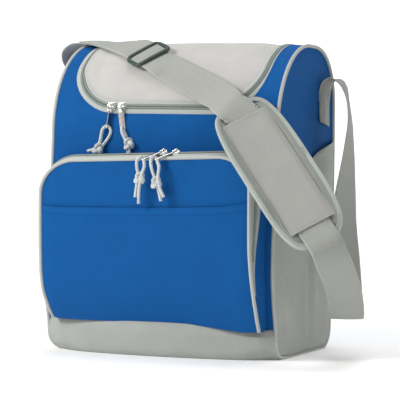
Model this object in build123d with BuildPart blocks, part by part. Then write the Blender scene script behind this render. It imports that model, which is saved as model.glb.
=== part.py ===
"""Insulated cooler bag with a zipped arched lid, a zipped front pocket and a padded shoulder strap.

Frame: origin at the centre of the main body's footprint on the floor, +X to the wearer's left
as the bag is seen from the front, +Y to the back, +Z up. Sizes are in millimetres.
"""
from build123d import *
from math import cos, radians, sin, tan
import os

os.makedirs("parts", exist_ok=True)

# ---- driving dimensions -------------------------------------------------------------------
WIDTH = 270.0
DEPTH = 180.0
HEIGHT = 348.0
FRONT_RADIUS = 100.0        # arch between the front wall and the top
BACK_RADIUS = 60.0          # arch between the top and the back wall
FOOT_RADIUS = 25.0          # lower edges, front and back
BAND_HEIGHT = 37.0          # grey band round the foot
BAND_BULGE = 18.0           # how far the band's front swells past the front wall

CLOTH = 1.2
FOAM_OUTER, FOAM_INNER = 2.2, 7.2       # depths under the outer face
LINER_OUTER, LINER_INNER = 7.4, 8.4
GAP = 0.2                   # between layers of one wall

ZIP_ANGLE = 16.7            # where the lid zipper crosses the front arch, degrees above level
ZIP_HALF_WIDTH = 112.0
ZIP_CORNER = 54.0
HINGE_Y = 50.5              # the lid is sewn to the back along this line
TAPE_HALF = 8.0             # half the width of a closed zipper
TEETH_HALF = 3.0
TEETH_GAP = 0.5             # each row of teeth stands this far from the zipper's centre line

POCKET_HALF_WIDTH = 124.0
POCKET_TOP = 222.0
POCKET_CORNER = 40.0
POCKET_FOLD = 92.0          # the zipper ends here, and the face folds down about this line
SLIP_TOP = 167.0
PIPING = 4.0

WEB_WIDTH = 38.0            # shoulder strap webbing
WEB_THICK = 1.5
PAD_LENGTH = 186.0
PAD_WIDTH = 74.0
PAD_NEAR_TRIM = 13.0        # taken off the pad's near edge, where the pocket's corner swings past
PAD_THICK = 8.0
SLEEVE_LENGTH = 148.0
SLEEVE_WIDTH = 48.0

CORD_RADIUS = 1.5
TAB_HOLE = 3.4              # a pull tab's cord hole, from its end
KNOT_RADIUS = 5.5

SIDE_IN = WIDTH / 2 - CLOTH             # inner face of the side panels
FRONT_Y = -DEPTH / 2
WRAP_HALF = SIDE_IN - GAP / 2
INNER_HALF = WIDTH / 2 - LINER_OUTER - GAP


# ---- helpers ------------------------------------------------------------------------------
def side_block(inset, half_width):
    """The bag's side outline, drawn `inset` under its outer face, run across the width."""
    with BuildPart() as block:
        with BuildSketch(Plane.YZ.offset(-half_width)) as outline:
            with Locations((0, HEIGHT / 2)):
                Rectangle(DEPTH - 2 * inset, HEIGHT - 2 * inset)
            front_top = outline.vertices().group_by(Axis.Y)[-1].sort_by(Axis.X)[0]
            fillet(front_top, FRONT_RADIUS - inset)
            back_top = outline.vertices().group_by(Axis.Y)[-1].sort_by(Axis.X)[-1]
            fillet(back_top, BACK_RADIUS - inset)
            fillet(outline.vertices().group_by(Axis.Y)[0], FOOT_RADIUS - inset)
        extrude(amount=2 * half_width)
    return block.part


def slab(x_range, y_range, z_range):
    """A plain block between two corners, used to keep or cut a zone."""
    low = Vector(x_range[0], y_range[0], z_range[0])
    high = Vector(x_range[1], y_range[1], z_range[1])
    size = high - low
    with BuildPart() as block:
        with Locations((low + high) * 0.5):
            Box(size.X, size.Y, size.Z)
    return block.part


ZIP_NORMAL = Vector(0, -cos(radians(ZIP_ANGLE)), sin(radians(ZIP_ANGLE)))
ZIP_UP = Vector(0, sin(radians(ZIP_ANGLE)), cos(radians(ZIP_ANGLE)))
ARCH_CENTRE = Vector(0, FRONT_Y + FRONT_RADIUS, HEIGHT - FRONT_RADIUS)
ZIP_FRONT = ARCH_CENTRE + ZIP_NORMAL * FRONT_RADIUS
ZIP_PLANE = Plane(origin=ZIP_FRONT, x_dir=(1, 0, 0), z_dir=ZIP_NORMAL)


def lid_prism(grow):
    """Everything inside the lid's zipper line, with the line moved out by `grow`."""
    reach = 330.0
    half = ZIP_HALF_WIDTH + grow
    with BuildPart() as prism:
        with BuildSketch(ZIP_PLANE) as outline:
            with Locations((0, reach / 2 - grow)):
                Rectangle(2 * half, reach)
            fillet(outline.vertices().group_by(Axis.Y)[0], ZIP_CORNER + grow)
        extrude(amount=40)
        extrude(to_extrude=outline.sketch, amount=-170)
        add(slab((-200, 200), (-300, HINGE_Y - GAP), (0, 500)), mode=Mode.INTERSECT)
    return prism.part


# depth of the pocket's face in front of the bag at a few heights, outer side
POCKET_FACE = [(-103.0, 36.0), (-120.5, 68.0), (-127.0, 95.0), (-129.5, 150.0), (-130.0, 224.0)]


def pocket_slab(near, far):
    """The space from `near` to `far` behind the pocket's curved face."""
    with BuildPart() as block:
        with BuildSketch(Plane.YZ.offset(-140)):
            with BuildLine():
                front = Spline(*[(y + near, z) for y, z in POCKET_FACE])
                back = Spline(*[(y + far, z) for y, z in POCKET_FACE])
                Line(front @ 0, back @ 0)
                Line(front @ 1, back @ 1)
            make_face()
        extrude(amount=280)
    return block.part


def pocket_prism(grow):
    """Everything inside the pocket's outline as seen from the front, moved out by `grow`."""
    height = POCKET_TOP - BAND_HEIGHT
    with BuildPart() as prism:
        with BuildSketch(Plane.XZ.offset(90.3)) as outline:
            with Locations((0, BAND_HEIGHT + (height + grow) / 2 + 0.7)):
                Rectangle(2 * (POCKET_HALF_WIDTH + grow), height + grow - 1.4)
            fillet(outline.vertices().group_by(Axis.Y)[-1], POCKET_CORNER + grow)
        extrude(amount=60)
    return prism.part


def ribbon(route, thickness, lift=0.0):
    """Webbing laid along a route of (point, width direction), lifted off it by `lift`."""
    points = [Vector(*point) for point, _ in route]
    with BuildPart() as band:
        for i, (_, width) in enumerate(route):
            ahead = points[min(i + 1, len(points) - 1)]
            behind = points[max(i - 1, 0)]
            along = (ahead - behind).normalized()
            across = Vector(*width)
            across = (across - along * across.dot(along)).normalized()
            out = along.cross(across)
            with BuildSketch(Plane(origin=points[i] + out * lift, x_dir=across, z_dir=along)):
                Rectangle(WEB_WIDTH, thickness)
        loft(ruled=True)
    return band.part


def corner_radii(points):
    """The largest radius that the two runs beside each corner of a cord's route allow."""
    radii = []
    for before, corner, after in zip(points, points[1:], points[2:]):
        first, second = corner - before, after - corner
        half_turn = radians(first.get_angle(second)) / 2
        radii.append(0.45 * min(first.length, second.length) / tan(half_turn))
    return radii


def cord_tube(route):
    """A plain tube along a cord's route, with an arc at each corner."""
    points = [Vector(*point) for point in route]
    path = FilletPolyline(*points, radius=corner_radii(points))
    with BuildPart() as tube:
        with BuildSketch(Plane(origin=path @ 0, z_dir=path % 0)):
            Circle(CORD_RADIUS)
        sweep(path=path)
    return tube.part


def zip_slider(plane, top_reach, under_reach, plate_low, plate_high, under_low, under_high, bar_height, web_x):
    """Two plates joined by a web that runs between the rows of teeth, with a bail on top.

    Local X runs along the zipper, local Z out of it. top_reach and under_reach are how far the
    plates above and below the teeth reach across the zipper.
    """
    length = 12.0
    bail_half = 3.6
    bar = 1.2
    bar_side = (top_reach[0] + top_reach[1]) / 2
    with BuildPart() as slider:
        with BuildSketch(plane.offset(plate_low)):
            with Locations((0, (top_reach[0] + top_reach[1]) / 2)):
                RectangleRounded(length, top_reach[1] - top_reach[0], 1.2)
        extrude(amount=plate_high - plate_low)
        with BuildSketch(plane.offset(under_low)):
            with Locations((0, (under_reach[0] + under_reach[1]) / 2)):
                RectangleRounded(length, under_reach[1] - under_reach[0], 1.2)
        extrude(amount=under_high - under_low)
        with BuildSketch(plane.offset(under_high)):
            with Locations((web_x, 0)):
                Rectangle(2.0, 0.5)
        extrude(amount=plate_low - under_high)
        with BuildSketch(plane.offset(plate_high)):
            with Locations((-bail_half, bar_side), (bail_half, bar_side)):
                Rectangle(bar, bar)
        extrude(amount=bar_height + bar / 2 - plate_high)
        with BuildSketch(plane.offset(bar_height - bar / 2)):
            with Locations((0, bar_side)):
                Rectangle(2 * bail_half + bar, bar)
        extrude(amount=bar)
    return slider.part


def pull_tab(hinge, end, side):
    """A flat tab with an eye at its hinge and a hole for the cord near its end."""
    eye_width, eye_radius, eye_bore = 2.4, 2.7, 1.5
    tab_width, tab_thick, hole_radius, neck = 7.0, 1.2, 1.8, 5.4
    hinge, end = Vector(*hinge), Vector(*end)
    up = (hinge - end).normalized()
    across = Vector(*side)
    across = (across - up * across.dot(up)).normalized()
    face = across.cross(up)
    length = (hinge - end).length
    with BuildPart() as tab:
        with BuildSketch(Plane(origin=hinge, x_dir=(0, 1, 0), z_dir=(1, 0, 0)).offset(-eye_width / 2)):
            Circle(eye_radius)
        extrude(amount=eye_width)
        with BuildSketch(Plane(origin=hinge, x_dir=across, z_dir=face).offset(-tab_thick / 2)):
            with Locations((0, -neck)):
                Rectangle(eye_width, neck)
            with Locations((0, -(length + neck) / 2)):
                RectangleRounded(tab_width, length - neck, 1.5)
            with Locations((0, TAB_HOLE - length)):
                Circle(hole_radius, mode=Mode.SUBTRACT)
        extrude(amount=tab_thick)
        with BuildSketch(Plane(origin=hinge, x_dir=(0, 1, 0), z_dir=(1, 0, 0)).offset(-tab_width)):
            Circle(eye_bore)
        extrude(amount=2 * tab_width, mode=Mode.SUBTRACT)
    return tab.part


def knot_ball(centre):
    """The outer shape of a cord's overhand knot."""
    with BuildPart() as ball:
        with Locations(centre):
            Sphere(KNOT_RADIUS)
    return ball.part


def finish_part(part, name):
    """Label a finished piece and write it."""
    part.label = name
    export_step(part, f"parts/{name}.step")


FAR = 400.0
EVERYWHERE = (-FAR, FAR)
FRONT_ZONE = slab(EVERYWHERE, (-FAR, HINGE_Y - GAP), (BAND_HEIGHT + 0.3, FAR))
BACK_ZONE = slab(EVERYWHERE, (HINGE_Y, FAR), (BAND_HEIGHT + 0.3, FAR))

# ---- outer cloth --------------------------------------------------------------------------
wrap_outer = side_block(0, WRAP_HALF)
wrap_inner = side_block(CLOTH, WIDTH)
behind_pocket = slab((-118, 118), (-FAR, -60), (FOOT_RADIUS, BAND_HEIGHT + 1))

with BuildPart() as front_panel:
    add(FRONT_ZONE)
    add(behind_pocket)
    add(wrap_outer, mode=Mode.INTERSECT)
    add(wrap_inner, mode=Mode.SUBTRACT)
    add(lid_prism(TAPE_HALF + GAP), mode=Mode.SUBTRACT)
finish_part(front_panel.part, "front_panel")

with BuildPart() as back_panel:
    add(BACK_ZONE)
    add(wrap_outer, mode=Mode.INTERSECT)
    add(wrap_inner, mode=Mode.SUBTRACT)
finish_part(back_panel.part, "back_panel")

panel_outline = side_block(0, WIDTH / 2)
for name, side in (("side_panel_left", -1), ("side_panel_right", 1)):
    low, high = sorted((side * SIDE_IN, side * WIDTH / 2))
    with BuildPart() as side_panel:
        add(slab((low, high), EVERYWHERE, EVERYWHERE))
        add(panel_outline, mode=Mode.INTERSECT)
    finish_part(side_panel.part, name)


def band_block(inset, floor):
    """The grey band's space: flat at the foot, its front swelling forward in plan."""
    half = WRAP_HALF
    side_y = FRONT_Y + 2.0 + inset
    with BuildPart() as block:
        with BuildSketch(Plane.XY.offset(floor)):
            with BuildLine():
                ThreePointArc((-half, side_y), (0, FRONT_Y - BAND_BULGE + inset), (half, side_y))
                Polyline((half, side_y), (half, 0), (-half, 0), (-half, side_y))
            make_face()
        extrude(amount=BAND_HEIGHT - floor + inset)
        add(side_block(inset, half))
    return block.part


band_zone = slab(EVERYWHERE, EVERYWHERE, (-1, BAND_HEIGHT))
band_outer = band_block(0, 0)
band_inner = band_block(CLOTH, CLOTH)
with BuildPart() as base_band:
    add(band_outer)
    add(band_inner, mode=Mode.SUBTRACT)
    add(band_zone, mode=Mode.INTERSECT)
finish_part(base_band.part, "base_band")

# ---- side pockets and piping --------------------------------------------------------------
SIDE_POCKET_DEPTH = 4.8
HEM_CURVE = [(-95, 160), (-50, 185), (-10, 210), (20, 224), (53, 232), (95, 241)]


def below_hem(drop):
    """Everything below the side pocket's hem curve, moved down by `drop`."""
    with BuildPart() as block:
        with BuildSketch(Plane.YZ.offset(-WIDTH)):
            with BuildLine():
                hem = Spline(*[(y, z - drop) for y, z in HEM_CURVE])
                Polyline(hem @ 1, (95, -5), (-95, -5), hem @ 0)
            make_face()
        extrude(amount=2 * WIDTH)
    return block.part


pouch_outline = side_block(3.4, WIDTH)
pouch_hollow = side_block(4.4, WIDTH)
hem_zone = below_hem(0)
hem_floor = below_hem(7)
ring_outer = side_block(0, WIDTH)
ring_inner = side_block(3.0, WIDTH)

for name, side in (("left", -1), ("right", 1)):
    wall = WIDTH / 2 + GAP
    low, high = sorted((side * wall, side * (wall + SIDE_POCKET_DEPTH + 1)))
    hollow_low, hollow_high = sorted((side * (wall - 1), side * (wall + SIDE_POCKET_DEPTH)))
    pouch_space = slab((hollow_low, hollow_high), EVERYWHERE, EVERYWHERE).intersect(pouch_hollow)
    with BuildPart() as side_pocket:
        add(slab((low, high), EVERYWHERE, EVERYWHERE))
        add(pouch_outline, mode=Mode.INTERSECT)
        add(hem_zone, mode=Mode.INTERSECT)
        add(pouch_space, mode=Mode.SUBTRACT)
    finish_part(side_pocket.part, f"side_pocket_{name}")

    sheet = wall + SIDE_POCKET_DEPTH + 1
    low, high = sorted((side * (sheet + 0.05), side * (sheet + 0.85)))
    with BuildPart() as pocket_hem:
        add(slab((low, high), EVERYWHERE, EVERYWHERE))
        add(pouch_outline, mode=Mode.INTERSECT)
        add(hem_zone, mode=Mode.INTERSECT)
        add(hem_floor, mode=Mode.SUBTRACT)
    finish_part(pocket_hem.part, f"pocket_hem_{name}")

    low, high = sorted((side * wall, side * (wall + 3.0)))
    with BuildPart() as piping:
        add(slab((low, high), EVERYWHERE, EVERYWHERE))
        add(ring_outer, mode=Mode.INTERSECT)
        add(ring_inner, mode=Mode.SUBTRACT)
    finish_part(piping.part, f"piping_{name}")

# ---- foam, liner and base board -----------------------------------------------------------
foam_skin = side_block(FOAM_OUTER, INNER_HALF)
foam_core = side_block(FOAM_INNER, WIDTH)
FOAM_FLOOR = FOOT_RADIUS
upper_front = slab(EVERYWHERE, (-FAR, HINGE_Y - GAP), (FOAM_FLOOR + GAP, FAR))
upper_back = slab(EVERYWHERE, (HINGE_Y, FAR), (FOAM_FLOOR + GAP, FAR))
foot_zone = slab(EVERYWHERE, EVERYWHERE, (0, FOAM_FLOOR))
lid_hole = lid_prism(TAPE_HALF + GAP)

with BuildPart() as foam_front:
    add(upper_front)
    add(foam_skin, mode=Mode.INTERSECT)
    add(foam_core, mode=Mode.SUBTRACT)
    add(lid_hole, mode=Mode.SUBTRACT)
finish_part(foam_front.part, "foam_front")

with BuildPart() as foam_back:
    add(upper_back)
    add(foam_skin, mode=Mode.INTERSECT)
    add(foam_core, mode=Mode.SUBTRACT)
finish_part(foam_back.part, "foam_back")

with BuildPart() as foam_bottom:
    add(foot_zone)
    add(foam_skin, mode=Mode.INTERSECT)
    add(foam_core, mode=Mode.SUBTRACT)
finish_part(foam_bottom.part, "foam_bottom")

side_foam_outline = side_block(FOAM_OUTER, WIDTH)
for name, side in (("foam_left", -1), ("foam_right", 1)):
    low, high = sorted((side * (INNER_HALF + GAP), side * (WIDTH / 2 - FOAM_OUTER)))
    with BuildPart() as side_foam:
        add(slab((low, high), EVERYWHERE, EVERYWHERE))
        add(side_foam_outline, mode=Mode.INTERSECT)
    finish_part(side_foam.part, name)

liner_skin = side_block(LINER_OUTER, INNER_HALF)
liner_core = side_block(LINER_INNER, INNER_HALF - 1.0)
with BuildPart() as liner_tub:
    add(liner_skin)
    add(liner_core, mode=Mode.SUBTRACT)
    add(lid_hole, mode=Mode.SUBTRACT)
finish_part(liner_tub.part, "liner_tub")

BOARD_THICK = 3.0
with BuildPart() as base_board:
    with BuildSketch(Plane.XY.offset(LINER_INNER + GAP)):
        RectangleRounded(2 * INNER_HALF - 6, DEPTH - 2 * FOOT_RADIUS - 4, 8)
    extrude(amount=BOARD_THICK)
finish_part(base_board.part, "base_board")

# ---- lid ----------------------------------------------------------------------------------
lid_inside = lid_prism(-TAPE_HALF - GAP)
foam_wide = side_block(FOAM_OUTER, WIDTH)
liner_wide = side_block(LINER_OUTER, WIDTH)
liner_wide_core = side_block(LINER_INNER, WIDTH + 1)
cloth_wide = side_block(0, WIDTH)
cloth_wide_core = side_block(CLOTH, WIDTH + 1)
for name, outer, inner in (("lid_panel", cloth_wide, cloth_wide_core),
                           ("lid_foam", foam_wide, foam_core),
                           ("lid_liner", liner_wide, liner_wide_core)):
    with BuildPart() as lid_layer:
        add(lid_inside)
        add(outer, mode=Mode.INTERSECT)
        add(inner, mode=Mode.SUBTRACT)
    finish_part(lid_layer.part, name)

TAPE_TOP, TAPE_UNDER = 0.2, 1.0
TEETH_TOP, TEETH_UNDER = -1.0, 1.4      # depths under the cloth's outer face
tape_outer = side_block(TAPE_TOP, WIDTH)
tape_inner = side_block(TAPE_UNDER, WIDTH + 1)
teeth_outer = side_block(TEETH_TOP, WIDTH)
teeth_inner = side_block(TEETH_UNDER, WIDTH + 1)
for name, outer_line, inner_line, outer, inner in (
        ("lid_zip_tape_bag", TAPE_HALF, TEETH_HALF + GAP, tape_outer, tape_inner),
        ("lid_zip_teeth_bag", TEETH_HALF, TEETH_GAP, teeth_outer, teeth_inner),
        ("lid_zip_teeth_lid", -TEETH_GAP, -TEETH_HALF, teeth_outer, teeth_inner),
        ("lid_zip_tape_lid", -TEETH_HALF - GAP, -TAPE_HALF, tape_outer, tape_inner)):
    hole = lid_prism(inner_line)
    with BuildPart() as zip_strip:
        add(lid_prism(outer_line))
        add(hole, mode=Mode.SUBTRACT)
        add(outer, mode=Mode.INTERSECT)
        add(inner, mode=Mode.SUBTRACT)
    finish_part(zip_strip.part, name)

# ---- lid sliders, pulls and cords ---------------------------------------------------------
LID_SLIDER_X = {"left": -64.0, "right": -51.0}
LID_WEB_X = {"left": 4.0, "right": 0.0}
LID_BAR = 6.8               # bail bar's height over the cloth
LID_BAR_SIDE = -1.85        # and its place below the zipper's centre line
LID_PULL_END = {"left": (-66.5, -96.0, 252.5), "right": (-47.0, -94.0, 252.0)}
LID_PULL_SIDE = {"left": (0.3, -0.95, 0), "right": (1, 0, 0)}
LID_KNOT = {"left": (-73.0, -97.0, 230.5), "right": (-38.0, -97.5, 235.5)}
LID_CORDS = {
    "left": [
        [(-66.2, -95.6, 255.8), (-70.6, -97.2, 253.6), (-72.0, -97.8, 246.0), (-73.6, -98.0, 236.0),
         (-75.6, -98.8, 229.5), (-84.6, -99.0, 227.4)],
        [(-66.2, -95.6, 255.8), (-61.8, -94.4, 253.2), (-61.8, -94.8, 246.5), (-67.0, -95.6, 238.0),
         (-72.4, -96.2, 230.0), (-79.6, -97.6, 223.0)],
    ],
    "right": [
        [(-47.5, -93.8, 255.4), (-47.2, -98.4, 254.0), (-45.6, -99.6, 247.5), (-41.2, -99.4, 240.0),
         (-37.6, -98.8, 232.0), (-36.2, -98.4, 224.0)],
        [(-47.5, -93.8, 255.4), (-46.6, -91.9, 253.2), (-44.0, -92.4, 247.0), (-41.0, -94.0, 240.0),
         (-39.0, -95.4, 232.0), (-40.2, -96.0, 224.5)],
    ],
}
for name in ("left", "right"):
    slider_plane = ZIP_PLANE.shift_origin(ZIP_FRONT + Vector(LID_SLIDER_X[name], 0, 0))
    slider = zip_slider(slider_plane, (-5.0, 1.3), (-5.0, 5.0), 2.2, 3.6, -3.6, -2.2,
                        LID_BAR, LID_WEB_X[name])
    finish_part(slider, f"lid_slider_{name}")
    hinge = ZIP_FRONT + Vector(LID_SLIDER_X[name], 0, 0) + ZIP_NORMAL * LID_BAR + ZIP_UP * LID_BAR_SIDE
    finish_part(pull_tab((hinge.X, hinge.Y, hinge.Z), LID_PULL_END[name], LID_PULL_SIDE[name]),
                f"lid_pull_{name}")
    strands = [cord_tube(route) for route in LID_CORDS[name]]
    finish_part(Compound(children=strands), f"lid_cord_{name}")
    finish_part(knot_ball(LID_KNOT[name]), f"lid_knot_{name}")

# ---- front pocket -------------------------------------------------------------------------
above_fold = slab(EVERYWHERE, EVERYWHERE, (POCKET_FOLD + 0.4, FAR))
below_fold = slab(EVERYWHERE, EVERYWHERE, (0, POCKET_FOLD - 0.4))
face_outline = pocket_prism(-PIPING - GAP)
whole_outline = pocket_prism(0)
piping_hole = pocket_prism(-PIPING)
cloth_hole = pocket_prism(-CLOTH)
tape_line, tape_hole = pocket_prism(-0.6), pocket_prism(-1.6)
teeth_line, teeth_hole = pocket_prism(0.6), pocket_prism(-2.6)
cloth_face = pocket_slab(0, CLOTH)
piping_depth = pocket_slab(-1.8, 2.6)

for name, zone in (("pocket_face", above_fold), ("pocket_face_lower", below_fold)):
    with BuildPart() as face:
        add(cloth_face)
        add(face_outline, mode=Mode.INTERSECT)
        add(zone, mode=Mode.INTERSECT)
    finish_part(face.part, name)

for name, zone in (("pocket_piping", above_fold), ("pocket_piping_lower", below_fold)):
    with BuildPart() as edge_piping:
        add(piping_depth)
        add(whole_outline, mode=Mode.INTERSECT)
        add(piping_hole, mode=Mode.SUBTRACT)
        add(zone, mode=Mode.INTERSECT)
    finish_part(edge_piping.part, name)

for name, depth, line, hole in (
        ("pocket_zip_tape_flap", (2.8, 8.6), tape_line, tape_hole),
        ("pocket_zip_teeth_flap", (8.8, 10.8), teeth_line, teeth_hole),
        ("pocket_zip_teeth_bag", (12.0, 14.2), teeth_line, teeth_hole),
        ("pocket_zip_tape_bag", (14.4, 20.2), tape_line, tape_hole)):
    with BuildPart() as zip_strip:
        add(pocket_slab(*depth))
        add(line, mode=Mode.INTERSECT)
        add(hole, mode=Mode.SUBTRACT)
        add(above_fold, mode=Mode.INTERSECT)
    finish_part(zip_strip.part, name)

upper_gusset = pocket_slab(20.4, 60).intersect(above_fold)
lower_gusset = pocket_slab(2.8, 60).intersect(below_fold)
fold_bridge = pocket_slab(20.4, 60).intersect(
    slab(EVERYWHERE, EVERYWHERE, (POCKET_FOLD - 1, POCKET_FOLD + 1)))
with BuildPart() as pocket_gusset:
    add(upper_gusset)
    add(lower_gusset)
    add(fold_bridge)
    add(whole_outline, mode=Mode.INTERSECT)
    add(cloth_hole, mode=Mode.SUBTRACT)
finish_part(pocket_gusset.part, "pocket_gusset")

SLIP_HALF = 117.0
SLIP_STAND = 5.6            # how far the slip pocket stands off the face at its mouth
slip_space = pocket_slab(-SLIP_STAND, 0.2)
slip_zone = slab((-SLIP_HALF, SLIP_HALF), EVERYWHERE, (POCKET_FOLD + 5, SLIP_TOP))
slip_hollow = slab((1 - SLIP_HALF, SLIP_HALF - 1), EVERYWHERE, (POCKET_FOLD + 6, FAR)).intersect(slip_space)
with BuildPart() as slip_pocket:
    add(pocket_slab(-SLIP_STAND - 1, -GAP))
    add(slip_zone, mode=Mode.INTERSECT)
    add(slip_hollow, mode=Mode.SUBTRACT)
finish_part(slip_pocket.part, "slip_pocket")

POCKET_SLIDER_X = {"left": 13.5, "right": 28.5}
POCKET_ZIP_Y = -118.3
POCKET_BAR = 229.2
POCKET_PULL_END = {"left": (-1.8, -138.6, 221.0), "right": (14.0, -138.6, 221.6)}
POCKET_PULL_SIDE = {"left": (0.77, -0.64, 0), "right": (0.81, -0.59, 0)}
POCKET_KNOT = {"left": (-4.2, -142.4, 199.0), "right": (15.7, -142.4, 194.5)}
POCKET_CORDS = {
    "left": [
        [(0.2, -136.0, 222.0), (-2.6, -138.4, 225.6), (-6.8, -142.0, 222.0), (-7.6, -142.6, 213.0),
         (-6.0, -141.4, 203.0), (-8.2, -140.8, 193.0), (-10.0, -141.4, 178.0)],
        [(0.2, -136.0, 222.0), (1.8, -137.6, 218.6), (2.4, -141.2, 212.5), (-1.0, -143.4, 205.0),
         (-3.6, -144.0, 194.0), (-5.0, -143.2, 182.0), (-5.2, -142.6, 171.0)],
    ],
    "right": [
        [(15.9, -136.0, 222.6), (13.6, -138.2, 226.2), (9.8, -141.8, 222.4), (10.0, -142.6, 212.0),
         (13.2, -141.4, 200.0), (17.2, -140.8, 188.0), (21.0, -141.4, 174.5)],
        [(15.9, -136.0, 222.6), (17.8, -137.6, 219.2), (19.8, -141.2, 212.5), (18.2, -143.4, 203.0),
         (18.6, -144.0, 191.0), (25.0, -143.2, 179.0)],
    ],
}
for name in ("left", "right"):
    top_plane = Plane(origin=(POCKET_SLIDER_X[name], POCKET_ZIP_Y, POCKET_TOP), x_dir=(1, 0, 0),
                      z_dir=(0, 0, 1))
    slider = zip_slider(top_plane, (-5.0, 5.0), (-5.0, 5.0), 1.2, 2.8, -4.8, -3.2,
                        POCKET_BAR - POCKET_TOP, 0.0)
    finish_part(slider, f"pocket_slider_{name}")
    finish_part(pull_tab((POCKET_SLIDER_X[name], POCKET_ZIP_Y, POCKET_BAR), POCKET_PULL_END[name],
                         POCKET_PULL_SIDE[name]), f"pocket_pull_{name}")
    strands = [cord_tube(route) for route in POCKET_CORDS[name]]
    finish_part(Compound(children=strands), f"pocket_cord_{name}")
    finish_part(knot_ball(POCKET_KNOT[name]), f"pocket_knot_{name}")

# ---- shoulder strap -----------------------------------------------------------------------
GLIDE = Vector(-35.5, -50.0, 335.5)             # tri-glide's centre
GLIDE_ALONG = Vector(0.81, -0.49, -0.32).normalized()
GLIDE_ACROSS = Vector(0.573, 0.667, 0.460)
GLIDE_RUN = 26.0                                # straight webbing on each side of it
PAD = Vector(152.3, -129.0, 210.0)              # centre of the pad, in the webbing
PAD_ALONG = Vector(0.619, -0.212, -0.756).normalized()
PAD_ACROSS = Vector(0.733, 0.501, 0.460)
PAD_ACROSS = (PAD_ACROSS - PAD_ALONG * PAD_ACROSS.dot(PAD_ALONG)).normalized()
PAD_OUT = PAD_ALONG.cross(PAD_ACROSS)
PAD_RUN_UP, PAD_RUN_DOWN = 79.0, 103.0          # straight webbing above and below its centre


def along(centre, direction, distance):
    """A point of a straight stretch, as plain numbers."""
    point = centre + direction * distance
    return (point.X, point.Y, point.Z)


def turned(degrees):
    """A level width direction, turned from +X towards +Y."""
    return (cos(radians(degrees)), sin(radians(degrees)), 0)


glide_width = (GLIDE_ACROSS.X, GLIDE_ACROSS.Y, GLIDE_ACROSS.Z)
pad_width = (PAD_ACROSS.X, PAD_ACROSS.Y, PAD_ACROSS.Z)
LEFT_RISE = [
    ((-140.0, 59.0, 301.0), (0, 1, 0)),
    ((-146.0, 58.0, 308.0), (0, 1, 0)),
    ((-163.0, 52.0, 318.0), (0.05, 0.99, 0.1)),
    ((-172.0, 42.0, 332.0), (0.2, 0.97, 0.1)),
    ((-168.0, 30.0, 345.0), (0.35, 0.93, 0.1)),
    ((-152.0, 18.0, 353.0), (0.42, 0.9, 0.05)),
    ((-134.0, 7.0, 355.0), (0.46, 0.88, 0.1)),
    ((-112.0, -5.0, 353.5), (0.5, 0.84, 0.2)),
    ((-84.0, -20.0, 349.5), (0.53, 0.76, 0.36)),
]
OVER_LID = [
    ((-3.0, -66.0, 322.0), (0.53, 0.59, 0.61)),
    ((23.0, -75.5, 310.5), (0.53, 0.50, 0.68)),
    ((47.0, -83.5, 300.0), (0.55, 0.44, 0.71)),
    ((60.0, -90.0, 294.0), (0.60, 0.45, 0.66)),
    ((73.0, -98.5, 289.0), (0.66, 0.47, 0.58)),
    ((88.5, -112.0, 280.0), (0.72, 0.50, 0.48)),
]
RIGHT_LOOP = [
    ((219.0, -139.0, 115.5), (0.80, 0.47, 0.37)),
    ((218.5, -116.0, 98.0), (0.86, 0.42, 0.27)),
    ((215.5, -90.0, 78.5), (0.90, 0.40, 0.17)),
    ((210.0, -65.0, 59.5), (0.92, 0.38, 0.08)),
    ((204.0, -46.0, 48.0), turned(22)),
    ((200.0, -36.5, 45.5), turned(22)),
    ((197.0, -27.5, 51.0), turned(22)),
    ((192.0, -16.0, 67.0), turned(25)),
    ((185.0, -2.0, 103.0), turned(38)),
    ((180.0, 8.0, 148.0), turned(58)),
    ((178.5, 20.0, 190.0), turned(76)),
    ((177.5, 32.0, 231.0), turned(92)),
    ((174.0, 44.0, 265.0), turned(103)),
    ((167.0, 52.0, 290.0), turned(106)),
    ((158.0, 57.0, 306.0), turned(98)),
    ((149.5, 59.0, 311.5), turned(91)),
    ((142.5, 59.0, 309.0), (0, 1, 0)),
    ((140.0, 59.0, 301.0), (0, 1, 0)),
]
STRAP_ROUTE = (
    LEFT_RISE
    + [(along(GLIDE, GLIDE_ALONG, -GLIDE_RUN), glide_width),
       (along(GLIDE, GLIDE_ALONG, GLIDE_RUN), glide_width)]
    + OVER_LID
    + [(along(PAD, PAD_ALONG, -PAD_RUN_UP), pad_width),
       (along(PAD, PAD_ALONG, PAD_RUN_DOWN), pad_width)]
    + RIGHT_LOOP
)
finish_part(ribbon(STRAP_ROUTE, WEB_THICK), "strap_webbing")

TAIL_ROUTE = LEFT_RISE[-3:] + [(along(GLIDE, GLIDE_ALONG, -GLIDE_RUN), glide_width)]
finish_part(ribbon(TAIL_ROUTE, WEB_THICK, lift=WEB_THICK + 0.3), "strap_tail")

ANCHOR_Y = 59.0
ANCHOR_LOW, ANCHOR_HIGH = 259.0, 300.0
for name, side in (("strap_anchor_left", -1), ("strap_anchor_right", 1)):
    face = WIDTH / 2 + GAP
    low, high = sorted((side * face, side * (face + WEB_THICK)))
    with BuildPart() as anchor:
        add(slab((low, high), (ANCHOR_Y - WEB_WIDTH / 2, ANCHOR_Y + WEB_WIDTH / 2), (ANCHOR_LOW, ANCHOR_HIGH)))
    finish_part(anchor.part, name)

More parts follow.
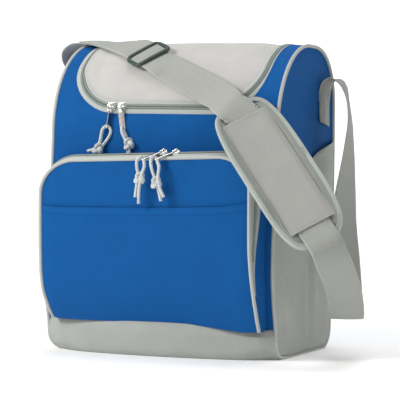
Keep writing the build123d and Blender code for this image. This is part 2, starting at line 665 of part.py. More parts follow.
# ---- tri-glide ----------------------------------------------------------------------------
GLIDE_WIDTH, GLIDE_LENGTH = 47.0, 24.0
RAIL, BAR_LENGTH = 3.8, 4.0
glide_across = (GLIDE_ACROSS - GLIDE_ALONG * GLIDE_ACROSS.dot(GLIDE_ALONG)).normalized()
glide_out = GLIDE_ALONG.cross(glide_across)
glide_plane = Plane(origin=GLIDE, x_dir=glide_across, z_dir=glide_out)
WEB_CLEAR = 1.2
with BuildPart() as tri_glide:
    with BuildSketch(glide_plane.offset(-WEB_CLEAR - 1.6)) as frame:
        with Locations((-(GLIDE_WIDTH - RAIL) / 2, 0), ((GLIDE_WIDTH - RAIL) / 2, 0)):
            RectangleRounded(RAIL, GLIDE_LENGTH, 1.5)
    extrude(amount=2 * WEB_CLEAR + 3.6)
    with BuildSketch(glide_plane.offset(WEB_CLEAR)):
        end_bar = (GLIDE_LENGTH - BAR_LENGTH) / 2
        with Locations((0, -end_bar), (0, end_bar)):
            Rectangle(GLIDE_WIDTH - RAIL, BAR_LENGTH)
    extrude(amount=2.0)
    with BuildSketch(glide_plane.offset(-WEB_CLEAR - 1.6)):
        Rectangle(GLIDE_WIDTH - RAIL, BAR_LENGTH)
    extrude(amount=1.6)
finish_part(tri_glide.part, "tri_glide")

# ---- shoulder pad -------------------------------------------------------------------------
pad_plane = Plane(origin=PAD, x_dir=PAD_ACROSS, z_dir=PAD_OUT)
near_sign = 1 if PAD_OUT.Y > 0 else -1
PAD_BACK = 1.3              # the pad's front face lies this far behind the webbing's middle
BINDING = 5.0


def pad_outline(grow):
    """Flat outline of the pad with rounded ends, its near edge trimmed."""
    with BuildSketch() as outline:
        with Locations((PAD_NEAR_TRIM / 2, 0)):
            RectangleRounded(PAD_WIDTH - PAD_NEAR_TRIM + 2 * grow, PAD_LENGTH + 2 * grow, 22 + grow)
    return outline.sketch


def toward_back(amount):
    """The pad's plane, moved towards the bag."""
    return pad_plane.offset(near_sign * amount)


with BuildPart() as pad_base:
    with BuildSketch(toward_back(PAD_BACK)):
        add(pad_outline(-BINDING))
    extrude(amount=near_sign * PAD_THICK)
finish_part(pad_base.part, "pad_base")

with BuildPart() as pad_binding:
    with BuildSketch(toward_back(PAD_BACK + 1)):
        add(pad_outline(0))
        add(pad_outline(GAP - BINDING), mode=Mode.SUBTRACT)
    extrude(amount=near_sign * (PAD_THICK - 2))
finish_part(pad_binding.part, "pad_binding")

SLEEVE_WALL = 1.2
with BuildPart() as pad_sleeve:
    with BuildSketch(toward_back(PAD_BACK - GAP)):
        Rectangle(SLEEVE_WIDTH, SLEEVE_LENGTH)
    extrude(amount=-near_sign * (2 * PAD_BACK + SLEEVE_WALL - GAP))
    with BuildSketch(toward_back(PAD_BACK)):
        Rectangle(SLEEVE_WIDTH - 2 * SLEEVE_WALL - 4, SLEEVE_LENGTH + 2)
    extrude(amount=-near_sign * (2 * PAD_BACK - GAP), mode=Mode.SUBTRACT)
finish_part(pad_sleeve.part, "pad_sleeve")
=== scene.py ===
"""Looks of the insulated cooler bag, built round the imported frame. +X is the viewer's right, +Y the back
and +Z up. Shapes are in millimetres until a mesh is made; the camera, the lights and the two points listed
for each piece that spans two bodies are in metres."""
import math
import bpy
import numpy as np
from mathutils import Matrix, Vector, noise
from mathutils.geometry import delaunay_2d_cdt


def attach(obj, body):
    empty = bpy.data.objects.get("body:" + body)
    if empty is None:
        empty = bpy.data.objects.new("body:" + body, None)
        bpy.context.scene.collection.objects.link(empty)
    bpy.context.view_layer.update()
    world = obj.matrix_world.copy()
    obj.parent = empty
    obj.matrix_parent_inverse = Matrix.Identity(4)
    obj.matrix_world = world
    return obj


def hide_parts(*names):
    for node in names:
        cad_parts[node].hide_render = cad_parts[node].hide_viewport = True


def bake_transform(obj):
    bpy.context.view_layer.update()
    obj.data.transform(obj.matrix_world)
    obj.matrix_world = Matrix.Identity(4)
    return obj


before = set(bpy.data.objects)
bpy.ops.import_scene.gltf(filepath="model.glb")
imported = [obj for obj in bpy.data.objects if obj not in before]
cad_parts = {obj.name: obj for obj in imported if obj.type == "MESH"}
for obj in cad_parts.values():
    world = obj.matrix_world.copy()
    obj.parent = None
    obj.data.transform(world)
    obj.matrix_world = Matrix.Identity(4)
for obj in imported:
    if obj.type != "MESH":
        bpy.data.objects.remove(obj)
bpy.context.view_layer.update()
scene = bpy.context.scene
MM = 0.001

# ---- camera and light ----------------------------------------------------------------------
LENS, SENSOR = 195.99, 36.0
CAMERA_PLACE = (0.97098, -2.31542, 0.26433)
CAMERA_RIGHT = (0.92317, 0.38426, 0.01030)
CAMERA_UP = (-0.02379, 0.03037, 0.99926)
CAMERA_BACK = (0.38366, -0.92273, 0.03718)
WORLD_STRENGTH = 0.36

camera_data = bpy.data.cameras.new("camera")
camera_data.sensor_width = SENSOR
camera_data.lens = LENS
camera = bpy.data.objects.new("camera", camera_data)
scene.collection.objects.link(camera)
axes = Matrix((CAMERA_RIGHT, CAMERA_UP, CAMERA_BACK)).transposed()
camera.matrix_world = Matrix.Translation(CAMERA_PLACE) @ axes.to_4x4()
scene.camera = camera
scene.view_settings.view_transform = "Standard"


def socket(node, name, value):
    node.inputs[name].default_value = value


def area_light(name, place, target, size, power, color=(1, 1, 1)):
    data = bpy.data.lights.new(name, "AREA")
    data.shape = "DISK"
    data.size = size
    data.energy = power
    data.color = color
    lamp = bpy.data.objects.new(name, data)
    lamp.location = place
    lamp.rotation_euler = (Vector(target) - Vector(place)).to_track_quat("-Z", "Y").to_euler()
    scene.collection.objects.link(lamp)


area_light("key", (-1.35, -1.55, 1.35), (-0.02, -0.05, 0.16), 0.8, 40, (1.0, 0.99, 0.97))
area_light("fill", (1.9, -2.0, 0.9), (0.05, 0, 0.15), 1.8, 2.5, (0.96, 0.98, 1.0))
area_light("top", (0.1, 0.3, 2.4), (0, 0, 0.1), 1.6, 26)
world = bpy.data.worlds.new("studio")
world.use_nodes = True
socket(world.node_tree.nodes["Background"], "Color", (1, 1, 1, 1))
socket(world.node_tree.nodes["Background"], "Strength", WORLD_STRENGTH)
scene.world = world


# ---- materials -----------------------------------------------------------------------------
MIX_A, MIX_B, MIX_RESULT = 6, 7, 2      # the Mix node's colour sockets
BRIGHTEST = 0.97                        # no surface reflects more of any colour
WEB_HALF, WEB_THICK, WEB_CUP = 19.0, 1.4, 0.5
WEB_FLAT_MIDDLE = 40.0                  # where the webbing's middle lies in its flat coordinates


class Paint:
    """A node material, with short calls for the nodes it needs."""

    def __init__(self, name, color, rough, metallic=0.0, sheen=0.0, gloss=0.3):
        self.material = bpy.data.materials.new(name)
        self.material.use_nodes = True
        self.material.diffuse_color = (*color, 1)
        self.tree = self.material.node_tree
        self.shader = self.tree.nodes["Principled BSDF"]
        socket(self.shader, "Base Color", (*color, 1))
        socket(self.shader, "Roughness", rough)
        socket(self.shader, "Metallic", metallic)
        socket(self.shader, "Sheen Weight", sheen)
        socket(self.shader, "Sheen Roughness", 0.5)
        if not metallic:
            socket(self.shader, "Specular IOR Level", gloss)
        self.color = Vector(color)

    def add(self, kind, **values):
        node = self.tree.nodes.new(kind)
        for key, value in values.items():
            if key in node.inputs:
                self.feed(node.inputs[key], value)
            else:
                setattr(node, key, value)
        return node

    def feed(self, target, value):
        if isinstance(value, bpy.types.NodeSocket):
            self.tree.links.new(value, target)
        else:
            target.default_value = value

    def math(self, operation, a, b=0.0):
        node = self.tree.nodes.new("ShaderNodeMath")
        node.operation = operation
        self.feed(node.inputs[0], a)
        self.feed(node.inputs[1], b)
        return node.outputs[0]

    def times(self, a, b):
        return self.math("MULTIPLY", a, b)

    def sum(self, total, *terms):
        for term in terms:
            total = self.math("ADD", total, term)
        return total

    def centred(self, value, gain):
        """A value from 0 to 1, moved to stand about 0 and scaled."""
        return self.times(self.math("SUBTRACT", value, 0.5), gain)

    def wave(self, place, pitch):
        return self.math("SINE", self.times(place, 2 * math.pi / pitch))

    def flat_place(self):
        """The cloth's own flat coordinates, in millimetres."""
        node = self.add("ShaderNodeUVMap", uv_map="weave")
        split = self.add("ShaderNodeSeparateXYZ", Vector=node.outputs["UV"])
        return split.outputs[0], split.outputs[1], node.outputs["UV"]

    def solid_place(self):
        return self.add("ShaderNodeTexCoord").outputs["Object"]

    def noise(self, vector, scale, detail=3.0, rough=0.55):
        node = self.add("ShaderNodeTexNoise", Vector=vector, Scale=scale, Detail=detail, Roughness=rough)
        return node.outputs["Fac"]

    def tint(self, factor, dark, light):
        """Base colour between two shades of the paint's own colour."""
        mix = self.add("ShaderNodeMix", data_type="RGBA")
        self.feed(mix.inputs["Factor"], factor)
        mix.inputs[MIX_A].default_value = (*(self.color * dark), 1)
        mix.inputs[MIX_B].default_value = (*[min(c, BRIGHTEST) for c in self.color * light], 1)
        self.tree.links.new(mix.outputs[MIX_RESULT], self.shader.inputs["Base Color"])

    def bump(self, height, depth):
        """Adds a bump of so many millimetres on top of those already there."""
        node = self.add("ShaderNodeBump", Strength=1.0, Distance=depth * MM, Height=height)
        before = self.shader.inputs["Normal"].links
        if before:
            self.tree.links.new(before[0].from_socket, node.inputs["Normal"])
        self.tree.links.new(node.outputs["Normal"], self.shader.inputs["Normal"])


def woven(name, color, pitch=0.62, depth=0.10, contrast=0.10, sheen=0.04, gloss=0.2):
    """Plain-woven cloth: threads crossing at a pitch, uneven in colour, with soft crumple."""
    paint = Paint(name, color, 0.78, sheen=sheen, gloss=gloss)
    u, v, uv = paint.flat_place()
    cross = paint.times(paint.wave(u, pitch), paint.wave(v, pitch))
    grain = paint.noise(uv, 1.4, 2.0)
    cloud = paint.noise(uv, 0.035, 4.0, 0.6)
    weave = paint.sum(paint.times(cross, contrast * 0.5), 0.5, paint.centred(grain, contrast * 2))
    paint.tint(paint.sum(weave, paint.centred(cloud, 0.6)), 0.80, 1.20)
    paint.bump(cross, depth)
    paint.bump(grain, depth * 1.2)
    paint.bump(paint.noise(uv, 0.05, 3.0), 0.55)
    return paint.material


def herringbone(name, color, pitch=2.3):
    """Heavy webbing: a broken herringbone of coarse threads, with a painted highlight along each edge."""
    paint = Paint(name, color, 0.78, sheen=0.03, gloss=0.2)
    u, v, uv = paint.flat_place()
    warp = paint.math("ABSOLUTE", paint.wave(u, 2 * pitch))
    zig = paint.math("PINGPONG", u, 4.75)
    cross = paint.times(warp, paint.wave(paint.sum(v, paint.times(zig, 0.8)), pitch))
    grain = paint.noise(uv, 1.6, 2.0)
    off_middle = paint.math("ABSOLUTE", paint.math("SUBTRACT", u, WEB_FLAT_MIDDLE))
    # painted highlight: the outer 1.1 mm at each edge of the webbing is made brighter
    selvage_highlight = paint.math("GREATER_THAN", off_middle, WEB_HALF - 1.1)
    weave = paint.sum(paint.times(cross, 0.36), paint.times(grain, 0.3), 0.30)
    paint.tint(paint.sum(weave, paint.times(selvage_highlight, 0.35)), 0.60, 1.22)
    paint.bump(cross, 0.55)
    paint.bump(grain, 0.12)
    return paint.material


def ribbed(name, color, pitch=1.1, depth=0.16, contrast=0.16):
    """Narrow woven tape: fine ribs across it and a soft twill along it."""
    paint = Paint(name, color, 0.8, sheen=0.03, gloss=0.2)
    u, v, uv = paint.flat_place()
    ribs, lines = paint.wave(v, pitch), paint.wave(u, 1.4)
    twill = paint.sum(paint.times(ribs, contrast), paint.times(lines, contrast * 0.6))
    paint.tint(paint.sum(twill, paint.times(paint.noise(uv, 1.2, 2.0), 0.5), 0.25), 0.82, 1.14)
    paint.bump(paint.sum(ribs, lines), depth)
    return paint.material


def braided(name, color):
    """Braided cord: small plump picks seen as cells."""
    paint = Paint(name, color, 0.72, sheen=0.03, gloss=0.2)
    cells = paint.add("ShaderNodeTexVoronoi", Vector=paint.solid_place(), Scale=900.0)
    picks = paint.math("SUBTRACT", 1.0, cells.outputs["Distance"])
    paint.tint(paint.math("POWER", picks, 1.5), 0.62, 1.18)
    paint.bump(picks, 0.28)
    return paint.material


def polished(name, color, rough=0.2):
    """Plated metal with faint wear and drawing marks."""
    paint = Paint(name, color, rough, metallic=1.0)
    place = paint.solid_place()
    wear = paint.noise(place, 420.0, 4.0)
    paint.tint(wear, 0.82, 1.08)
    paint.feed(paint.shader.inputs["Roughness"], paint.sum(paint.times(wear, 0.22), rough - 0.08))
    paint.bump(paint.noise(place, 900.0, 2.0), 0.03)
    return paint.material


def moulded(name, color, rough=0.42, grain=1500.0, depth=0.03):
    """Injection-moulded plastic with a fine spark-eroded grain."""
    paint = Paint(name, color, rough)
    place = paint.solid_place()
    fine = paint.noise(place, grain, 2.0)
    paint.tint(paint.noise(place, 60.0, 3.0), 0.9, 1.1)
    paint.feed(paint.shader.inputs["Roughness"], paint.sum(paint.times(fine, 0.2), rough - 0.1))
    paint.bump(fine, depth)
    return paint.material


def film(name, color):
    """Heat-sealed liner film, creased, with painted shade: darker in the creases' hollows, lighter on their
    ridges.
    """
    paint = Paint(name, color, 0.35)
    place = paint.solid_place()
    creases_and_shade = paint.noise(place, 38.0, 6.0, 0.62)
    # painted shade: the crease field that raises the film also darkens its hollows
    paint.tint(creases_and_shade, 0.9, 1.06)
    paint.bump(creases_and_shade, 1.6)
    paint.bump(paint.noise(place, 12.0, 2.0), 2.5)
    return paint.material


PAINTS = {
    "blue_cloth": woven("blue_cloth", (0.0062, 0.100, 0.335), contrast=0.14, sheen=0.0, gloss=0.1),
    "grey_cloth": woven("grey_cloth", (0.435, 0.452, 0.42)),
    "light_cloth": woven("light_cloth", (0.56, 0.55, 0.53)),
    "pad_cloth": woven("pad_cloth", (0.35, 0.375, 0.34), pitch=1.9, depth=0.34, contrast=0.7),
    "sleeve_cloth": woven("sleeve_cloth", (0.42, 0.42, 0.40)),
    "binding": ribbed("binding", (0.50, 0.54, 0.50)),
    "piping": ribbed("piping", (0.47, 0.49, 0.465), pitch=1.3, depth=0.05, contrast=0.08),
    "zip_tape": ribbed("zip_tape", (0.47, 0.50, 0.48), pitch=0.9, depth=0.1),
    "zip_teeth": moulded("zip_teeth", (0.26, 0.30, 0.28), 0.45),
    "webbing": herringbone("webbing", (0.485, 0.50, 0.465)),
    "cord": braided("cord", (0.66, 0.70, 0.69)),
    "nickel": polished("nickel", (0.86, 0.84, 0.79)),
    "buckle": moulded("buckle", (0.045, 0.068, 0.060)),
    "liner": film("liner", (0.70, 0.71, 0.72)),
    "board": moulded("board", (0.30, 0.31, 0.31), 0.6, 900.0, 0.08),
}
THREADS = {
    "blue": woven("thread_blue", (0.012, 0.12, 0.38), contrast=0.05, sheen=0.0, gloss=0.1),
    "grey": woven("thread_grey", (0.50, 0.52, 0.49), contrast=0.05),
}


# ---- mesh helpers --------------------------------------------------------------------------
def make_object(name, verts, faces, flat=None, flip=False):
    """A mesh object from points in millimetres. flat gives each point's place on the flat cloth."""
    mesh = bpy.data.meshes.new(name)
    if flip:
        faces = [face[::-1] for face in faces]
    mesh.from_pydata([tuple(c * MM for c in v) for v in verts], [], faces)
    if flat is None:
        flat = [(v[0], v[2]) for v in verts]
    layer = mesh.uv_layers.new(name="weave")
    corners = np.zeros(len(mesh.loops), int)
    mesh.loops.foreach_get("vertex_index", corners)
    layer.data.foreach_set("uv", np.asarray(flat, float)[corners].ravel())
    mesh.polygons.foreach_set("use_smooth", [True] * len(mesh.polygons))
    piece = bpy.data.objects.new(name, mesh)
    scene.collection.objects.link(piece)
    return piece


def modify(piece, kind, **values):
    modifier = piece.modifiers.new(kind.lower(), kind)
    for key, value in values.items():
        setattr(modifier, key, value)
    return piece


def settle(piece, crease=42.0):
    """Applies a piece's modifiers and marks its sharp edges."""
    bpy.context.view_layer.update()
    graph = bpy.context.evaluated_depsgraph_get()
    mesh = bpy.data.meshes.new_from_object(piece.evaluated_get(graph))
    old = piece.data
    name = old.name
    piece.modifiers.clear()
    piece.data = mesh
    bpy.data.meshes.remove(old)
    mesh.name = name
    mesh.polygons.foreach_set("use_smooth", [True] * len(mesh.polygons))
    mesh.set_sharp_from_angle(angle=math.radians(crease))
    return piece


def dress(piece, body, slot, replaced=(), paint=None):
    """Gives a piece its material and the body it rides on. A piece given two bodies and two points is
    attached to neither and stays where it lies.
    """
    piece.data.materials.clear()
    piece.data.materials.append(paint or PAINTS[slot])
    if isinstance(body, str):
        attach(piece, body)
    else:
        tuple(body[2])
        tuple(body[3])
        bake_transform(piece)
    if replaced:
        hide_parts(*replaced)
    return piece


def dense(loop, step):
    """A closed loop of points with none further apart than step."""
    points = []
    for a, b in zip(loop, loop[1:] + loop[:1]):
        a, b = np.array(a, float), np.array(b, float)
        count = max(1, math.ceil(np.linalg.norm(b - a) / step - 1e-6))
        points += [tuple(a + (b - a) * i / count) for i in range(count)]
    return points


def cut_flat(loop, step):
    """Fills a flat outline with even triangles: returns flat points and faces."""
    loop = dense(loop, step)
    edge = np.array(loop)
    low, high = edge.min(0), edge.max(0)
    xs = np.arange(low[0], high[0] + step, step)
    ys = np.arange(low[1], high[1] + step, step)
    grid = np.array([(x, y) for y in ys for x in xs])
    ahead = np.roll(edge, -1, 0)
    inside = np.zeros(len(grid), bool)
    near = np.full(len(grid), 1e9)
    for (x0, y0), (x1, y1) in zip(edge, ahead):
        crosses = (y0 > grid[:, 1]) != (y1 > grid[:, 1])
        if y0 != y1:
            reach = (x1 - x0) * (grid[:, 1] - y0) / (y1 - y0) + x0
            inside ^= crosses & (grid[:, 0] < reach)
        run = np.array([x1 - x0, y1 - y0])
        t = np.clip(((grid - (x0, y0)) @ run) / max(run @ run, 1e-9), 0, 1)
        near = np.minimum(near, np.linalg.norm(grid - np.array([x0, y0]) - t[:, None] * run, axis=1))
    kept = grid[inside & (near > 0.42 * step)]
    points = [Vector(p) for p in loop] + [Vector(p) for p in kept]
    verts, _, faces, *_ = delaunay_2d_cdt(points, [], [list(range(len(loop)))], 1, 1e-5)
    return [(v.x, v.y) for v in verts], [tuple(face) for face in faces]


def panel(name, loop, place, step=4.0, thick=1.0, flip=False, offset=-1.0):
    """Cloth cut to a flat outline and laid by place(u, v), with its thickness."""
    flat, faces = cut_flat(loop, step)
    piece = make_object(name, [place(u, v) for u, v in flat], faces, flat, flip)
    modify(piece, "SOLIDIFY", thickness=thick * MM, offset=offset)
    return settle(piece)


def grid_piece(name, rows, flat_rows=None, closed=False, thick=0.0, flip=False, offset=-1.0, crease=42.0):
    """A sheet from rows of points. closed joins the last column to the first."""
    height, width = len(rows), len(rows[0])
    verts = [tuple(p) for row in rows for p in row]
    faces = []
    for i in range(height - 1):
        for j in range(width - (0 if closed else 1)):
            k = (j + 1) % width
            faces.append((i * width + j, i * width + k, (i + 1) * width + k, (i + 1) * width + j))
    flat = None if flat_rows is None else [tuple(p) for row in flat_rows for p in row]
    piece = make_object(name, verts, faces, flat, flip)
    if thick:
        modify(piece, "SOLIDIFY", thickness=thick * MM, offset=offset)
    return settle(piece, crease)


def tube_faces(rings, count, base=0, closed=False, caps=True):
    """Faces between rings of count points. An open tube has a cap at each end, unless caps is off."""
    faces = []
    for i in range(rings if closed else rings - 1):
        low, high = base + i * count, base + (i + 1) % rings * count
        faces += [(low + n, low + (n + 1) % count, high + (n + 1) % count, high + n) for n in range(count)]
    if caps and not closed:
        last = base + (rings - 1) * count
        faces += [tuple(range(base, base + count))[::-1], tuple(range(last, last + count))]
    return faces


def run_of(points):
    """How far along a path each of its points lies."""
    return np.concatenate([[0], np.cumsum([(b - a).length for a, b in zip(points, points[1:])])])


def at_run(d, run, table):
    return Vector([np.interp(d, run, table[:, c]) for c in range(3)])


def circle(count):
    """Angles of so many even steps round a full turn."""
    return [float(a) for a in np.linspace(0, 2 * math.pi, count, endpoint=False)]


def squared(value, power):
    """A sine or cosine raised to a power, with its sign: below 1 it squares a circle's corners."""
    return math.copysign(abs(value) ** power, value)


def frames_along(points, lean, closed=False):
    """Side and out directions at each point of a path. Out leans as near to lean as it can."""
    last, made = len(points) - 1, []
    for i in range(len(points)):
        ahead = points[(i + 1) % len(points)] if closed else points[min(i + 1, last)]
        behind = points[i - 1] if closed else points[max(i - 1, 0)]
        along = (ahead - behind).normalized()
        out = (lean - along * lean.dot(along)).normalized()
        made.append((along.cross(out), out))
    return made


def swept(name, points, section, lean, closed=False):
    """A section of (side, out) points carried along a path."""
    rows = [[point + side * a + out * b for a, b in section]
            for point, (side, out) in zip(points, frames_along(points, lean))]
    runs = list(run_of(points))
    if closed:
        rows.append(rows[0])
        runs.append(runs[-1] + (points[0] - points[-1]).length)
    across = run_of([Vector(p) for p in section])
    flat = [(u, v) for v in runs for u in across]
    faces = tube_faces(len(rows), len(section), caps=not closed)
    piece = make_object(name, [p for row in rows for p in row], faces, flat)
    if closed:
        modify(piece, "WELD", merge_threshold=1e-5)
    return settle(piece, 60)


def ring(side, out, count=12):
    """An ellipse of two radii, as a section."""
    return [(side * math.cos(a), out * math.sin(a)) for a in circle(count)]


def smooth_path(points, step):
    """Points about a step apart on a smooth curve through the given ones, as rows of numbers."""
    table = np.array(points, float)
    gaps = np.sqrt(np.linalg.norm(np.diff(table[:, :3], axis=0), axis=1))
    knots = np.concatenate([[0], np.cumsum(gaps)])
    lead = np.vstack([2 * table[0] - table[1], table, 2 * table[-1] - table[-2]])
    knots = np.concatenate([[knots[0] - gaps[0]], knots, [knots[-1] + gaps[-1]]])
    made = []
    for i in range(1, len(lead) - 2):
        t0, t1, t2, t3 = knots[i - 1:i + 3]
        count = max(1, round(np.linalg.norm(lead[i + 1, :3] - lead[i, :3]) / step))
        for t in np.linspace(t1, t2, count, endpoint=False):
            a1 = (t1 - t) / (t1 - t0) * lead[i - 1] + (t - t0) / (t1 - t0) * lead[i]
            a2 = (t2 - t) / (t2 - t1) * lead[i] + (t - t1) / (t2 - t1) * lead[i + 1]
            a3 = (t3 - t) / (t3 - t2) * lead[i + 1] + (t - t2) / (t3 - t2) * lead[i + 2]
            b1 = (t2 - t) / (t2 - t0) * a1 + (t - t0) / (t2 - t0) * a2
            b2 = (t3 - t) / (t3 - t1) * a2 + (t - t1) / (t3 - t1) * a3
            made.append((t2 - t) / (t2 - t1) * b1 + (t - t1) / (t2 - t1) * b2)
    made.append(lead[-2])
    return np.array(made)


STITCH_RINGS = ((-0.5, 0.45, -0.15), (-0.28, 0.9, 0.12), (0.0, 1.0, 0.2), (0.28, 0.9, 0.12),
                (0.5, 0.45, -0.15))     # (along, size, rise)
STITCH_SIDES = 6


def stitches(name, points, outs, body, slot, thread="grey", pitch=3.3, length=2.3, radius=0.26):
    """A row of thread stitches along a path, each a small arched grain. outs may be one direction."""
    outs = [outs] * len(points) if isinstance(outs, Vector) else outs
    run, places, lifts = run_of(points), np.array(points), np.array(outs)
    verts, faces = [], []
    for k in range(int(run[-1] / pitch)):
        spots = []
        for shift, size, rise in STITCH_RINGS:
            d = (k + 0.5) * pitch + shift * length
            lift = at_run(d, run, lifts).normalized()
            spots.append((at_run(d, run, places) + lift * rise, lift, size * radius))
        along = (spots[-1][0] - spots[0][0]).normalized()
        faces += tube_faces(len(spots), STITCH_SIDES, len(verts))
        for place, lift, size in spots:
            side = along.cross(lift).normalized()
            verts += [place + (side * math.cos(a) + lift * math.sin(a)) * size for a in circle(STITCH_SIDES)]
    return dress(make_object(name, verts, faces), body, slot, paint=THREADS[thread])


# ---- the bag's side outline ----------------------------------------------------------------
DEPTH, HEIGHT = 180.0, 348.0
FRONT_ARC, BACK_ARC, FOOT_ARC = 100.0, 60.0, 25.0       # radii of its corners
BAND_TOP = 37.0
EDGE_X = 133.9              # the wrap cloth's edges
HINGE_Y = 50.5


def arc_points(centre, radius, start, stop, count):
    return [(centre[0] + radius * math.cos(math.radians(a)), centre[1] + radius * math.sin(math.radians(a)))
            for a in np.linspace(start, stop, count)]


def outline_table():
    """Run and (y, z) of the side outline, from the foot of the front, over the top and round."""
    half = DEPTH / 2
    corners = ([(-half, FOOT_ARC), (-half, HEIGHT - FRONT_ARC)]
               + arc_points((FRONT_ARC - half, HEIGHT - FRONT_ARC), FRONT_ARC, 180, 90, 60)[1:]
               + arc_points((half - BACK_ARC, HEIGHT - BACK_ARC), BACK_ARC, 90, 0, 40)
               + arc_points((half - FOOT_ARC, FOOT_ARC), FOOT_ARC, 0, -90, 16)
               + arc_points((FOOT_ARC - half, FOOT_ARC), FOOT_ARC, -90, -180, 16))
    points = np.array(corners + [corners[0]], float)
    run = np.concatenate([[0], np.cumsum(np.linalg.norm(np.diff(points, axis=0), axis=1))])
    s = np.linspace(0, run[-1], 1601)
    return s, np.stack([np.interp(s, run, points[:, c]) for c in (0, 1)], 1)


RUN, BASE = outline_table()
FULL_RUN = RUN[-1]


def smoothed(values, width):
    """Rolling weighted mean round the closed outline."""
    kernel = np.exp(-0.5 * np.linspace(-2.5, 2.5, 2 * width + 1) ** 2)
    kernel /= kernel.sum()
    ringed = np.concatenate([values[-width - 1:-1], values, values[1:width + 1]])
    return np.convolve(ringed, kernel, "valid")


# how far the filled cloth stands out from the outline, at runs of it
SWELL_MARKS = ((0, -3), (12, -1), (35, 5.5), (70, 10.5), (105, 9.5), (145, 6), (185, 2.5), (223, 0.5),
               (300, 0.5), (380, 1.0), (410, 0), (450, 3.5), (494, 6.5), (560, 7.5), (640, 6.5), (700, 4.5),
               (745, 1.5), (790, 0), (830, 0), (900, 0), (FULL_RUN, -3))
SWELL = smoothed(np.interp(RUN, *zip(*SWELL_MARKS)), 22)
TANGENT = np.gradient(BASE, RUN, axis=0)
TANGENT = np.stack([smoothed(TANGENT[:, c], 6) for c in (0, 1)], 1)
TANGENT /= np.linalg.norm(TANGENT, axis=1)[:, None]
NORMAL = np.stack([-TANGENT[:, 1], TANGENT[:, 0]], 1)


def along_outline(s):
    """(y, z), outward normal and swell at a run of the outline."""
    y, z = np.interp(s, RUN, BASE[:, 0]), np.interp(s, RUN, BASE[:, 1])
    ny, nz = np.interp(s, RUN, NORMAL[:, 0]), np.interp(s, RUN, NORMAL[:, 1])
    return y, z, ny, nz, np.interp(s, RUN, SWELL)


def step_up(x, low, high):
    t = min(max((x - low) / (high - low), 0.0), 1.0)
    return t * t * (3 - 2 * t)


def crumple(x, y, seed, size=60.0):
    return noise.noise(Vector((x / size, y / size, seed)))


TOP_S = float(np.interp(HINGE_Y, BASE[(RUN > 300) & (RUN < 480), 0], RUN[(RUN > 300) & (RUN < 480)]))
BAND_S = 6.0                # the front wall's cloth ends here, behind the grey band
BACK_FOOT_S = 745.0         # and the same at the back


def bulged(point):
    """The filled bag bulges at the foot of its front left edge."""
    low = step_up(point.z, -6, 16) * (1 - step_up(point.z, 100, 215))
    point.x -= 5.0 * step_up(-point.x, 60, 134) * step_up(-point.y, -70, 40) * low
    return point


def body_point(x, s, lift=0.0):
    """A point of the cloth wrap, x across the bag and s up its front and over its top."""
    y, z, ny, nz, swell = along_outline(s)
    middle = max(0.0, 1 - (x / EDGE_X) ** 2)
    front = step_up(s, 30, 110) * (1 - step_up(s, 215, 300))
    rear = step_up(s, 470, 540) * (1 - step_up(s, 680, 740))
    belly = 3.4 * middle ** 0.7 * (front + rear)
    crown = 1.6 * middle * step_up(s, 330, 400) * (1 - step_up(s, 440, 500))
    fold = 0.9 * crumple(x, s, 3.1) * middle ** 0.5
    tuck = -2.6 * (1 - step_up(s, 8, 15)) if s < 15 else 0.0
    far = swell + belly + crown + fold + lift + tuck
    return bulged(Vector((x, y + ny * far, z + nz * far)))


def body_normal(s):
    _, _, ny, nz, _ = along_outline(s)
    return Vector((0, ny, nz))


# ---- the lid zipper's line -----------------------------------------------------------------
ZIP_HALF, ZIP_CORNER = 112.0, 54.0
ZIP_ANGLE = math.radians(16.7)
ZIP_NORMAL = Vector((0, -math.cos(ZIP_ANGLE), math.sin(ZIP_ANGLE)))
ZIP_UP = Vector((0, math.sin(ZIP_ANGLE), math.cos(ZIP_ANGLE)))
ZIP_FRONT = Vector((0, 10, 248)) + ZIP_NORMAL * 100
FRONT_RUN = RUN < TOP_S
RISE = np.maximum.accumulate((BASE[FRONT_RUN, 0] - ZIP_FRONT.y) * ZIP_UP.y
                             + (BASE[FRONT_RUN, 1] - ZIP_FRONT.z) * ZIP_UP.z + 1e-6 * RUN[FRONT_RUN])


def run_at_rise(rise):
    return float(np.interp(rise, RISE, RUN[FRONT_RUN]))


LID_TURN = run_at_rise(ZIP_CORNER)


def mirrored(half, middle):
    """A line from its left half and its middle point."""
    return half + [middle] + [(-x, s) for x, s in half[::-1]]


def corner_reach(across, over):
    """How far a point is past a rounded corner's centre, across the bag and over towards the edge."""
    return math.hypot(across, over) if across > 0 and over > 0 else max(across, over)


def zip_line(grow, step=2.5):
    """The zipper's line moved out by grow, as flat (x, s) points from its left end to its right."""
    flat_x, corner = ZIP_HALF - ZIP_CORNER, ZIP_CORNER + grow
    sides = round((TOP_S - LID_TURN) / step)
    turns = round(1.57 * ZIP_CORNER / step)
    half = [(-ZIP_HALF - grow, s) for s in np.linspace(TOP_S, LID_TURN, sides, endpoint=False)]
    half += [(-flat_x - corner * math.cos(a), run_at_rise(ZIP_CORNER - corner * math.sin(a)))
             for a in np.linspace(0, math.pi / 2, turns, endpoint=False)]
    half += [(x, run_at_rise(-grow)) for x in np.linspace(-flat_x, 0, round(flat_x / step), endpoint=False)]
    return mirrored(half, (0.0, run_at_rise(-grow)))


def zip_distance(x, s):
    """How far a flat point lies outside the zipper's line (inside is negative)."""
    y, z, *_ = along_outline(s)
    rise = (y - ZIP_FRONT.y) * ZIP_UP.y + (z - ZIP_FRONT.z) * ZIP_UP.z
    if s > TOP_S - 12:
        rise = 400.0        # beside the hinge only the way across counts
    return corner_reach(abs(x) - (ZIP_HALF - ZIP_CORNER), ZIP_CORNER - rise) - ZIP_CORNER


LID_COVER, FRONT_COVER = 4.4, 1.6       # how far each cloth reaches over the tape


